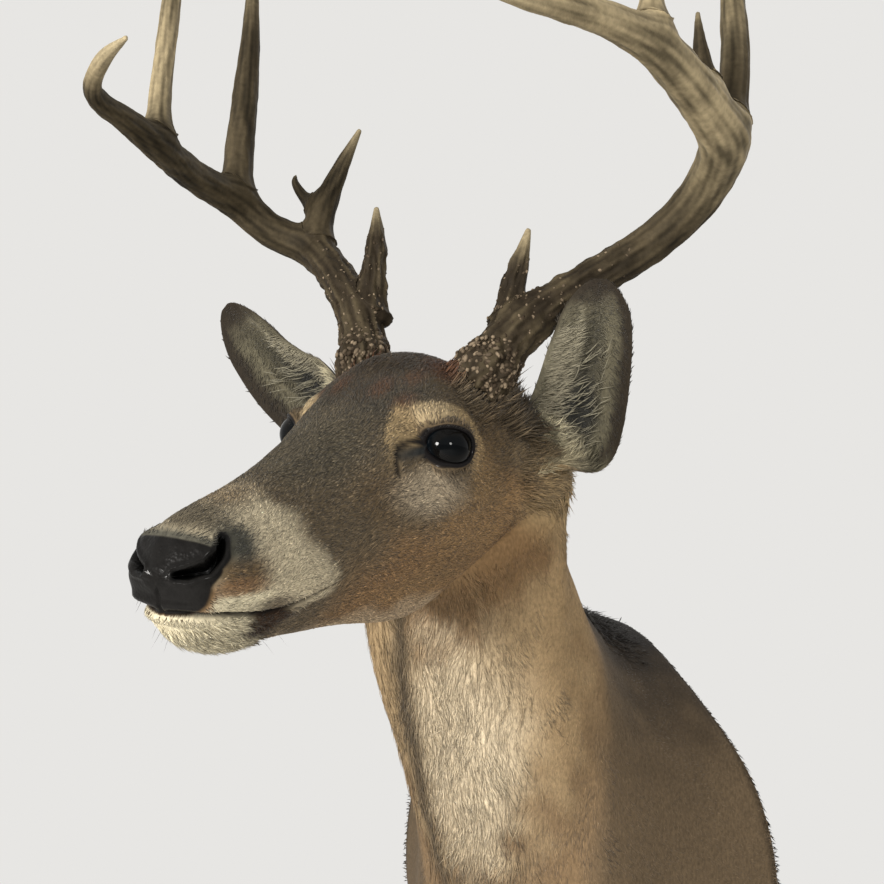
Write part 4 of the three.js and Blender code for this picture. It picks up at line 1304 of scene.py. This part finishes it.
# %% One lock, many times
BLADE_FACES = np.array([
    [0, 1, 2],  # foot
    [0, 3, 4], [0, 4, 1], [1, 4, 5], [1, 5, 2], [2, 5, 3], [2, 3, 0],  # foot to middle
    [3, 6, 4], [4, 6, 5], [5, 6, 3],  # middle to tip
])
SPINDLE_FACES = np.array([[0, 1, 2], [0, 3, 1], [0, 2, 3], [4, 2, 1], [4, 1, 3], [4, 3, 2]])
BLADE_SPOTS = np.array([[-1, -1], [1, -1], [0, -1], [-1, 0], [1, 0], [0, 0], [0, 1]])
SPINDLE_SPOTS = np.array([[0, -1], [-1, 0], [1, 0], [0.5, 0], [0, 1]])
MIDDLE = 0.42  # share of a lock's length where it is widest
PATCH = 0.0015  # half the width of a lock's patch on the bake map
ROOT_DEPTH = 0.25  # how far a lock starts inside the skin
WALL_GAP = 0.6  # no hair comes nearer to the wall
ROOT_SHADE = 0.80  # a lock's root is a little darker than its middle
tufts_made = {}


def grow(name, locks, rng, blade=False, tip_fall=0.0, bend=0.0):
    """A piece of locks, from a table of their roots, lies, normals, lengths, widths, lifts, middle and tip
    tones and places on the map. From the root a lock runs along the lie, rises by lift x length x (2s - s^2),
    where s is the share of the length, drops by bend x (length x s)^2 / 2 to follow a curved body, and sways
    sideways at random. Its cross-section is a flat triangle."""
    roots, lie, normal, length, width, lift, tone, tip_tone, place = locks
    count = len(roots)
    lie = unit(lie - normal * (lie * normal).sum(axis=1)[:, None])
    across = np.cross(lie, normal)
    sway = rng.normal(0, 0.15, count)
    share = np.array([0.0, MIDDLE, 1.0])
    rise = lift[:, None] * length[:, None] * (2 * share - share**2)[None] - ROOT_DEPTH
    rise = rise - 0.5 * (bend * length**2)[:, None] * share[None] ** 2
    line = (
        roots[:, None]
        + lie[:, None] * (length[:, None] * share[None])[..., None]
        + normal[:, None] * rise[..., None]
        + across[:, None] * (sway[:, None] * length[:, None] * share[None] ** 2)[..., None]
    )
    line[..., 2] -= tip_fall * length[:, None] * share[None] ** 2
    half = (0.5 * width)[:, None]
    thick = ((0.45 if blade else 0.3) * width)[:, None]
    root, waist, tip = line[:, 0], line[:, 1], line[:, 2]
    foot, pattern, spots = [root], SPINDLE_FACES, SPINDLE_SPOTS
    if blade:
        foot = [root - across * half * 0.75, root + across * half * 0.75, root + normal * thick * 0.6]
        pattern, spots = BLADE_FACES, BLADE_SPOTS
    middle = [waist - across * half, waist + across * half, waist + normal * thick]
    points = np.stack([*foot, *middle, tip], axis=1)
    points[..., 1] = np.minimum(points[..., 1], -WALL_GAP)
    tint = np.stack([tone * ROOT_SHADE] * len(foot) + [tone] * 3 + [tip_tone], axis=1)
    faces = (pattern[None] + (np.arange(count) * points.shape[1])[:, None, None]).reshape(-1, 3)
    spots = np.clip(place, 0.003, 0.997)[:, None] + spots[None] * PATCH
    maps = {"OFBake": spots.reshape(-1, 2)[faces.ravel()]}
    piece = make_piece(name, points.reshape(-1, 3), faces, tint.reshape(-1, 3), maps)
    piece.data.materials.append(hair)
    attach(piece, "root")
    tufts_made[name] = (count, len(faces))


hair, nodes, links, shader = new_material(
    "hair_locks", 0.70, Specular_IOR_Level=0.18, Sheen_Weight=0.05, Sheen_Roughness=0.5
)
tint_times_noise(nodes, links, shader, 2.5, 0.84, 1.16)
print("triangles in a blade and a spindle:", len(BLADE_FACES), len(SPINDLE_FACES))

# %% [markdown]
# ## Where the locks stand
# Locks are shortest and finest on the face, longer down the neck and longest on the throat and the withers.
# The number in each cell of the skin follows its area. Their lie is the way from the nose back to the wall,
# pulled down by its own weight on the body, turned aside round the eyes, and stirred by slow waves.

# %% Lie and length over the skin
skin_out = facing(skin_grid)
if (skin_out * out).sum() < 0:
    skin_out = -skin_out
lie_grid = unit(-np.gradient(skin_grid, axis=0))
down = np.array([0, 0.1, -1.0])
lie_grid = lie_grid + 0.45 * on_neck[..., None] * (down - skin_out * (skin_out @ down)[..., None])
local = on_both_sides(in_head(skin_grid))
mirror = np.sign(in_head(skin_grid)[..., 1:2])
eye_away = local - EYE_CENTRE
eye_gap = np.linalg.norm(eye_away, axis=-1)
aside = unit(eye_away) * np.exp(-np.maximum(eye_gap - 17, 0) / 9)[..., None] * 1.7
aside[..., 1] *= mirror[..., 0]
lie_grid = unit(lie_grid + aside @ HEAD_AXES)
stir = 0.30 * waves(skin_grid, 60, seed=7) + 0.18 * waves(skin_grid, 22, seed=8)
lie_grid = unit(lie_grid + np.cross(lie_grid, skin_out) * stir[..., None])



def along_body(knots):
    """Values at shares of the way from the wall, with straight lines between, the same all the way round."""
    shares, values = np.array(knots).T
    return np.interp(ring_t, shares, values)[:, None] + 0 * turns


up_side = from_top(turns)
along = ring_t[:, None]
lock_length = along_body([[0, 8.5], [0.12, 10], [0.2, 12], [0.36, 11], [0.42, 8.5], [0.5, 6.6], [0.7, 5.8],
                          [0.9, 4.2], [1, 2.4]])
lock_width = along_body([[0, 1.15], [0.3, 1.05], [0.42, 0.95], [0.5, 0.90], [0.8, 0.80], [1, 0.55]])
lock_lift = along_body([[0, 0.005], [0.2, 0.015], [0.36, 0.025], [0.45, 0.045], [0.9, 0.075], [1, 0.05]])
contrast = along_body([[0, 0.20], [0.2, 0.13], [0.3, 0.07], [0.4, 0.08], [0.48, 0.22], [0.6, 0.38],
                       [0.9, 0.40], [1, 0.3]])
layers = along_body([[0, 2.1], [0.3, 2.1], [0.45, 1.9], [0.6, 1.7], [1, 1.6]])  # of locks over each place
under = np.exp(-(((turns - 0.53) / 0.13) ** 4))[None, :]
throat = under * ramp(along, 0.18, 0.25) * (1 - ramp(along, 0.42, 0.48))
withers = (1 - ramp(up_side, 0.05, 0.22))[None, :] * (1 - ramp(along, 0.13, 0.19)) * ramp(along, 0.02, 0.06)

covered = 1 - eye_near
covered = covered * (1 - nose_mask(head)) * (nostril_gap > nostril_half + 1.2)
covered = covered * (mouth_gap > 1.8) * (gland_gap > 1.5)
covered = covered * (1 - 0.9 * patch(head, [40, 44.5, 0.5], [8, 8, 5.5], 0.3))
crown = patch(local, [-16, 0, 62], [44, 42, 16], 0.4)
lock_lift = lock_lift + 0.10 * crown
lock_length = lock_length + 2.0 * crown
antler_foot = 0 * covered
for which in EARS:
    beam = np.array(ANTLERS[which]["beam"])
    apart = line_distance(in_head(skin_grid), beam[:3, :3])[0] - beam[1, 3]  # from the beam's foot
    covered = covered * (apart > -1)
    rises = unit(beam[2, :3] - beam[1, :3]) @ HEAD_AXES
    beside_antler = hump(np.maximum(apart, 0), 0, 7)
    lie_grid = unit(lie_grid + 1.6 * beside_antler[..., None] * rises)
    lock_lift = lock_lift + 0.55 * beside_antler
    lock_length = lock_length + 2.0 * beside_antler
    antler_foot = antler_foot + hump(np.maximum(apart, 0), 0, 5) * (apart > -3)
behind_antler = patch(local, [-84, 64, 30], [19, 17, 18], 0.4)
lie_grid = unit(lie_grid + 1.2 * behind_antler[..., None] * UP)
round_step = 0.5 * (np.roll(skin_grid, -1, axis=1) - np.roll(skin_grid, 1, axis=1))
area = np.linalg.norm(np.cross(np.gradient(skin_grid, axis=0), round_step), axis=-1)
wanted = covered * area * layers / (0.5 * lock_length * lock_width)
print("locks wanted over the body:", int(wanted.sum()))
ring_gap = np.linalg.norm(np.diff(skin_grid, axis=0), axis=-1).mean(axis=1)
ring_way = np.concatenate([[0], np.cumsum(ring_gap)])


def bend_along(step, change):
    """How fast the normal tips forward along one of the grid's two ways, for each millimetre."""
    size = np.maximum(np.linalg.norm(step, axis=-1), 0.05)
    return np.clip((change * step).sum(axis=-1) / size**2, -0.02, 0.035), step / size[..., None]


long_step = np.gradient(skin_grid, axis=0)
long_bend, long_way = bend_along(long_step, np.gradient(skin_out, axis=0))
round_turn = 0.5 * (np.roll(skin_out, -1, axis=1) - np.roll(skin_out, 1, axis=1))
round_bend, round_way = bend_along(round_step, round_turn)
lie_bend = long_bend * (lie_grid * long_way).sum(axis=-1) ** 2
lie_bend = lie_bend + round_bend * (lie_grid * round_way).sum(axis=-1) ** 2


def bilinear(grid, row, column, r, c):
    """Values of a grid between four of its points."""
    after, beyond = row + 1, (column + 1) % COLUMNS
    shape = (-1,) + (1,) * (grid.ndim - 2)
    r, c = r.reshape(shape), c.reshape(shape)
    here = grid[row, column] * (1 - r) + grid[after, column] * r
    return here * (1 - c) + (grid[row, beyond] * (1 - r) + grid[after, beyond] * r) * c


def lock_tones(tone, points, spread, rng):
    """A middle and a tip colour for each lock: brightness varies from lock to lock by the spread, in small
    clumps too, and tips are paler or darker. Pale hair varies less."""
    bright = tone.mean(axis=1)
    spread = spread * np.interp(bright, [0.02, 0.10, 0.40], [0.6, 1.0, 0.5])
    clump = 0.30 * spread * waves(points, 5.0, seed=71)
    vary = np.exp(rng.normal(0, 1, len(tone)) * spread + clump - 0.5 * spread**2)
    paler = rng.random(len(tone)) < 0.6
    tip = np.where(paler, 1 + 2.2 * spread * rng.uniform(0.4, 1.2, len(tone)), 1 - 0.9 * spread)
    return tone * vary[:, None], tone * (vary * tip)[:, None]


# %% [markdown]
# ## Growing the body's coat
# One joined mesh of every lock would be too heavy a piece, so the coat is grown in bands along the body, each
# under 200,000 triangles. Each band's map unrolls its own stretch of skin: across for the way round, up for
# the way from wall to nose, so no two bands' locks share a place on one image.

# %% Coat bands
BANDS = {  # name: first and last share of the way, and the most spindles that the piece may have
    "coat_shoulder_back": (0.0, 0.10, 28000),
    "coat_shoulder": (0.10, 0.20, 28000),
    "coat_neck_low": (0.20, 0.30, 27000),
    "coat_neck_high": (0.30, 0.41, 27000),
    "coat_nape": (0.41, 0.51, 29000),
    "coat_cheek": (0.51, 0.64, 32000),
    "coat_muzzle": (0.64, 1.0, 32000),
}


def rings_between(start, end):
    """Numbers of the rings from one share of the way up to another."""
    return np.flatnonzero((ring_t[:-1] >= start) & (ring_t[:-1] < end))


def cover(name, weights, rows, count, seed, blade=False, longer=0.0, fatter=1.0, more_lift=0.0, tip_fall=0.0):
    """Grow a piece over some rings: each lock's cell is drawn by the cells' weights, then its place in it."""
    rng = np.random.default_rng(seed)
    share = weights[rows].ravel()
    total = share.sum()
    drawn = (np.arange(count) + rng.random(count)) * total / count
    pick = np.searchsorted(np.cumsum(share), drawn).clip(0, share.size - 1)
    row, column = rows[pick // COLUMNS], pick % COLUMNS
    r, c = rng.random(count), rng.random(count)

    def at(grid):
        return bilinear(grid, row, column, r, c)

    roots, normal = at(skin_grid), unit(at(skin_out))
    turn = (column + c) / COLUMNS
    t = ring_t[row] + (ring_t[row + 1] - ring_t[row]) * r
    middle, tip = lock_tones(coat_tones(at(hair_tips), roots, t, turn), roots, at(contrast), rng)
    lie = at(lie_grid)
    lie = lie + np.cross(lie, normal) * rng.normal(0, 0.15, count)[:, None]
    length = (at(lock_length) + longer) * rng.uniform(0.75, 1.25, count)
    width = at(lock_width) * fatter * rng.uniform(0.75, 1.25, count)
    lift = (at(lock_lift) + more_lift) * rng.uniform(0.5, 1.5, count)
    way = ring_way[row] + (ring_way[row + 1] - ring_way[row]) * r
    low, high = ring_way[rows[0]], ring_way[rows[-1] + 1]
    place = np.stack([turn, (way - low) / (high - low)], axis=1)
    locks = (roots, lie, normal, length, width, lift, middle, tip, place)
    grow(name, locks, rng, blade, tip_fall, at(lie_bend))
    print(name, "locks:", count, "wanted:", int(total))


for number, (name, (start, end, most)) in enumerate(BANDS.items()):
    rows = rings_between(start, end)
    cover(name, wanted, rows, min(int(wanted[rows].sum()), most), 100 + number)
hackles = (1 - ramp(up_side, 0.07, 0.20))[None, :] * hump(along, 0.075, 0.022)
under_ear = patch(local, [-96, 86, -14], [20, 18, 20], 0.5)
chin = patch(head, [166, 8, -97], [26, 28, 13], 0.4) * (mouth_gap > 3.5)
body_rows = rings_between(0, 0.50)
head_rows = rings_between(0.38, 0.66)
face_rows = rings_between(0.70, 0.99)
# Each piece of blades: where they grow, its rings, how many, its seed, how much longer, how many times as
# wide and how much more lifted they are than the short hair there, and how far their tips fall.
LONG_HAIR = {
    "coat_throat": (throat, body_rows, 4200, 120, 6.0, 0.8, 0.05, 0.10),
    "coat_withers": (withers, body_rows, 3000, 121, 5.0, 0.9, 0.16, 0.0),
    "coat_hackles": (hackles, body_rows, 1300, 126, 7.0, 1.0, 0.36, 0.0),
    "coat_antler_feet": (antler_foot, head_rows, 1800, 122, 4.5, 1.1, 0.25, 0.0),
    "coat_behind_antlers": (behind_antler, head_rows, 2100, 123, 9.0, 1.3, 0.55, 0.0),
    "coat_under_ears": (under_ear, head_rows, 2200, 124, 5.0, 1.1, 0.20, 0.0),
    "coat_chin": (chin, face_rows, 1700, 125, 4.0, 1.1, 0.12, 0.15),
}
for name, (weights, rows, count, seed, *shape) in LONG_HAIR.items():
    cover(name, weights * area, rows, count, seed, True, *shape)

# %% [markdown]
# ## Ear hair, lashes and whiskers
# The ear's back has short hair that lies towards the tip. In the cup, long hairs grow from the rims across to
# the middle and upwards, thickest and whitest at the root. Lashes and whiskers are single bristles.

# %% Ear coat
EAR_HAIR = {  # how many, the face that they grow on, shortest and longest, lift and width
    "back": (4200, -1, (5, 8), 0.08, 0.9),
    "cup": (5200, 1, (4, 8), 0.12, 0.75),
    "fluff": (1900, 1, (10, 19), 0.30, 0.8),
    "fringe": (900, 1, (8, 17), 0.22, 0.6),
    "wisps": (110, 1, (13, 24), 0.22, 0.7),
}
SHORT_KINDS = ("back", "cup")  # these are spindles, the others blades
EAR_STEP = 0.01  # a small step of t or s, for the blade's slopes


def ear_places(kind, count, rng):
    """Where the roots of one kind of hair are: t from root to tip, s across."""
    t = rng.uniform(0.0, 0.985, count)
    s = rng.uniform(-0.97, 0.97, count)
    if kind == "fluff":
        t = rng.random(count) * 0.32 - 0.04
    if kind == "fringe":
        t, s = rng.uniform(0.08, 0.75, count), -rng.uniform(0.55, 0.95, count)
    if kind == "wisps":
        t, s = rng.uniform(0.15, 0.66, count), rng.uniform(-0.75, 0.25, count)
    return t, s


def ear_lie(kind, along, over, s):
    """The way that one kind of hair runs, from the way to the ear's tip and the way over to its rear rim."""
    outwards = over * np.sign(s)[:, None]
    return {
        "back": along + over * s[:, None] * 0.3,
        "cup": 0.45 * along - outwards,
        "fluff": along - 0.4 * outwards,
        "fringe": along * 0.6 + over,
        "wisps": along * 0.8 + over * 0.7,
    }[kind]


def ear_locks(which, kind, rng):
    """The table of locks of one kind on one ear."""
    count, face, lengths, lift, width = EAR_HAIR[kind]
    t, s = ear_places(kind, count, rng)
    depth = EAR_THICKNESS * np.sqrt(np.clip(1 - s**2, 0, 1))

    def point(t, s):
        return ear_surface(which, t, s[:, None], face, depth[:, None])[:, 0]

    root = point(t, s)
    along = unit(point(t + EAR_STEP, s) - root)
    over = unit(point(t, s + EAR_STEP) - root)
    opens = unit(np.cross(along, over))
    opens = opens * np.sign((opens * ear_frame(which, t)[3]).sum(axis=1))[:, None] * face
    tone = ear_tones(t, s, np.full(count, face), root)
    middle, tip = lock_tones(tone, root, np.full(count, 0.24), rng)
    if kind == "wisps":
        middle, tip = blend(middle, (0.24, 0.22, 0.155), 0.8), blend(tip, (0.32, 0.29, 0.21), 0.8)
    if kind == "fringe":
        middle, tip = blend(middle, (0.30, 0.27, 0.19), 0.6), blend(tip, (0.46, 0.42, 0.31), 0.7)
    length = rng.uniform(*lengths, count)
    lie = ear_lie(kind, along, over, s) + over * rng.normal(0, 0.2, count)[:, None]
    length = length * (1 - 0.55 * ramp(t, 0.75, 1.0))
    width = np.full(count, width) * rng.uniform(0.7, 1.3, count)
    lift = np.full(count, lift) * rng.uniform(0.5, 1.5, count)
    spot = np.stack([0.25 + 0.24 * s + (0.5 if face < 0 else 0), t * 0.98 + 0.01], axis=1)
    return from_head(root), lie @ HEAD_AXES, opens @ HEAD_AXES, length, width, lift, middle, tip, spot


for number, which in enumerate(EARS):
    rng = np.random.default_rng(200 + number)
    kinds = {kind: ear_locks(which, kind, rng) for kind in EAR_HAIR}
    short = [locks for kind, locks in kinds.items() if kind in SHORT_KINDS]
    long = [locks for kind, locks in kinds.items() if kind not in SHORT_KINDS]
    grow(f"coat_ear_{which}", [np.concatenate(column) for column in zip(*short)], rng)
    grow(f"long_hair_ear_{which}", [np.concatenate(column) for column in zip(*long)], rng, blade=True)

print("locks and triangles in all:", np.array(list(tufts_made.values())).sum(axis=0))

# %% Lashes and whiskers
rng = np.random.default_rng(300)
LASHES, WHISKERS = 44, 16  # on each side
LASH_RING = 3  # of the lid's sheet
roots, lies, normals, lengths, widths = [], [], [], [], []
for side, (grid, _) in zip((1, -1), lid_grids):
    around = rng.uniform(0.35, 2.7, LASHES)  # along the upper lid
    root = grid[LASH_RING, (around / (2 * np.pi) * LID_AROUND).astype(int)]
    centre = from_head(EYE_CENTRE * [1, side, 1])
    outward = unit(root - centre)
    axis = (eye_axes(side)[0] * [1, side, 1]) @ HEAD_AXES
    roots.append(root)
    lies.append(unit(axis * 0.9 - UP * 0.15 + outward * 0.6 - FORWARD * 0.2))
    normals.append(unit(np.cross(lies[-1], np.cross(UP, lies[-1]))))
    lengths.append(rng.uniform(4, 7, LASHES))
    widths.append(np.full(LASHES, 0.30))
for side in (1, -1):
    row = np.searchsorted(ring_t, rng.uniform(0.79, 0.93, WHISKERS))
    turn = rng.uniform(0.20, 0.44, WHISKERS)
    column = (turn * COLUMNS).astype(int) if side > 0 else ((1 - turn) * COLUMNS).astype(int)
    roots.append(skin_grid[row, column])
    lies.append(unit(skin_out[row, column] + lie_grid[row, column] * 0.7 + [0, 0, -0.5]))
    normals.append(unit(np.cross(lies[-1], np.cross(lies[-1], UP)) * -1))
    lengths.append(rng.uniform(6, 15, WHISKERS))
    widths.append(np.full(WHISKERS, 0.22))
bristles = [np.concatenate(column) for column in (roots, lies, normals, lengths, widths)]
count = len(bristles[0])
dark = flat((0.03, 0.024, 0.018), (count, 3))
spots = np.stack([np.linspace(0.02, 0.98, count), np.full(count, 0.5)], axis=1)
bristles += [np.full(count, 0.12), dark, dark * 1.5, spots]
grow("lashes_and_whiskers", bristles, rng, blade=True)
print("bristles:", count)

# %% [markdown]
# ## Back board and hanger
# The board and its plate keep the frame's own shapes and get finishes: birch plywood with long faint grain,
# and brushed zinc-plated steel.

# %% Board materials
def streaked(name, roughness, stretch, detail, tones, depth, **sockets):
    """A material whose streaks are noise with its three directions stretched. tones are two pairs: a value of
    the noise and the colour there. depth is the streaks' bump in millimetres."""
    material, nodes, links, shader = new_material(name, roughness, **sockets)
    noise = stretched_noise(nodes, links, 1.0, detail, stretch)
    colours = add_node(nodes, "ValToRGB")
    for stop, (value, tone) in zip(colours.color_ramp.elements, tones):
        stop.position, stop.color = value, (*tone, 1)
    join(links, (noise, "Fac", colours, "Fac"), (colours, "Color", shader, "Base Color"))
    bump_from(nodes, links, shader, noise, "Fac", depth)
    return material


BIRCH = [(0.3, (0.42, 0.27, 0.13)), (0.7, (0.66, 0.49, 0.29))]
STEEL = [(0.25, (0.48, 0.49, 0.50)), (0.75, (0.72, 0.73, 0.74))]
ply = streaked("birch_plywood", 0.62, (70, 400, 5), 6, BIRCH, 0.25, Specular_IOR_Level=0.35)
zinc = streaked("brushed_zinc", 0.34, (37.5, 1350, 1350), 2, STEEL, 0.05, Metallic=1.0)
for node, material in (("back_board", ply), ("hanger_plate", zinc)):
    board = frame["nodes"][node]
    for socket in board.material_slots:
        socket.material = material
    if not board.material_slots:
        board.data.materials.append(material)
print("board and hanger finished")

# %% [markdown]
# ## Studio
# A pale floor far below, a pale background that only the camera and reflections see, and three round lamps: a
# key half a metre wide from the buck's front right, a weaker fill from its front left, and a wide one behind.

# %% Floor, lamps and background
FLOOR, FLOOR_REACH = -0.75, 30  # its height and half its width, in metres
CORNERS = ((-1, -1), (1, -1), (1, 1), (-1, 1))
BACKDROP = (0.80, 0.79, 0.77, 1)
floor_mesh = bpy.data.meshes.new("studio_floor")
floor_mesh.from_pydata([(x * FLOOR_REACH, y * FLOOR_REACH, FLOOR) for x, y in CORNERS], [], [(0, 1, 2, 3)])
floor = bpy.data.objects.new("studio_floor", floor_mesh)
scene.collection.objects.link(floor)
# Between these distances from the middle, in metres, the floor that the camera sees fades to the backdrop.
FLOOR_FADE = [1.1, 2.4]
pale, nodes, links, shader = new_material("pale_floor", 0.9, Base_Color=BACKDROP)
far_floor, seen_floor = add_node(nodes, "Emission", Color=BACKDROP), add_node(nodes, "LightPath")
where, distance = add_node(nodes, "TexCoord"), add_node(nodes, "VectorMath")
distance.operation = "LENGTH"
fade = add_node(nodes, "MapRange", From_Min=FLOOR_FADE[0], From_Max=FLOOR_FADE[1])
share, mixed = add_node(nodes, "Math"), add_node(nodes, "MixShader")
share.operation = "MULTIPLY"
join(
    links,
    (where, "Object", distance, 0),
    (distance, "Value", fade, "Value"),
    (fade, "Result", share, 0),
    (seen_floor, "Is Camera Ray", share, 1),
    (share, "Value", mixed, "Fac"),
    (shader, "BSDF", mixed, 1),
    (far_floor, "Emission", mixed, 2),
    (mixed, "Shader", nodes["Material Output"], "Surface"),
)
floor_mesh.materials.append(pale)
floor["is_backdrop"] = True

world = bpy.data.worlds.new("studio")
world.use_nodes = True
scene.world = world
nodes, links = world.node_tree.nodes, world.node_tree.links
nodes.clear()
path = add_node(nodes, "LightPath")
seen, clear = add_node(nodes, "Math"), add_node(nodes, "Math")
seen.operation = clear.operation = "MAXIMUM"
soft_light = add_node(nodes, "Background", Color=(1, 0.99, 0.97, 1), Strength=0.55)
backdrop = add_node(nodes, "Background", Color=BACKDROP, Strength=1.0)
either, sky = add_node(nodes, "MixShader"), add_node(nodes, "OutputWorld")
join(
    links,
    (path, "Is Glossy Ray", clear, 0),
    (path, "Is Transmission Ray", clear, 1),
    (path, "Is Camera Ray", seen, 0),
    (clear, "Value", seen, 1),
    (seen, "Value", either, "Fac"),
    (soft_light, "Background", either, 1),
    (backdrop, "Background", either, 2),
    (either, "Shader", sky, "Surface"),
)


def lamp(name, place, aim, size, watts):
    """A round area lamp that faces a point."""
    light = bpy.data.lights.new(name, "AREA")
    light.shape = "DISK"
    light.size, light.energy, light.color = size, watts, (1.0, 0.97, 0.93)
    fixture = bpy.data.objects.new(name, light)
    back = unit(np.array(place) - np.array(aim))
    right = unit(np.cross([0, 0, 1], back))
    fixture.matrix_world = aimed(right, np.cross(back, right), back, place)
    scene.collection.objects.link(fixture)


lamp("key", [-0.70, -2.50, 0.45], [0, -0.25, 0.1], 0.5, 64)
lamp("fill", [1.5, -2.1, 0.5], [0, -0.25, 0.1], 0.45, 22)
lamp("rim", [0.6, 1.6, 1.8], [0, -0.2, 0.3], 1.2, 14)

# %% [markdown]
# ## Camera
# The camera stands a little below the buck's eye and to its left, and looks slightly up, so the antlers leave
# the top of the frame and the chest leaves the bottom.

# %% Camera
CAMERA_PLACE = np.array([0.284, -0.893, 0.271])
CAMERA_AHEAD = unit(np.array([-0.4371, 0.8847, 0.1620]))
CAMERA_UP = unit(np.array([0.0524, -0.1548, 0.9866]))
right = unit(np.cross(CAMERA_AHEAD, CAMERA_UP))
camera_data = bpy.data.cameras.new("camera")
camera_data.lens, camera_data.sensor_width = 36.04, 36.0
camera_data.clip_start, camera_data.clip_end = 0.02, 30
camera = bpy.data.objects.new("camera", camera_data)
camera.matrix_world = aimed(right, np.cross(right, CAMERA_AHEAD), -CAMERA_AHEAD, CAMERA_PLACE)
scene.collection.objects.link(camera)
scene.camera = camera
scene.view_settings.view_transform = "Standard"

# %% Sizes
low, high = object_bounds()
print("visual box:", [round(v, 3) for v in (*low, *high)])
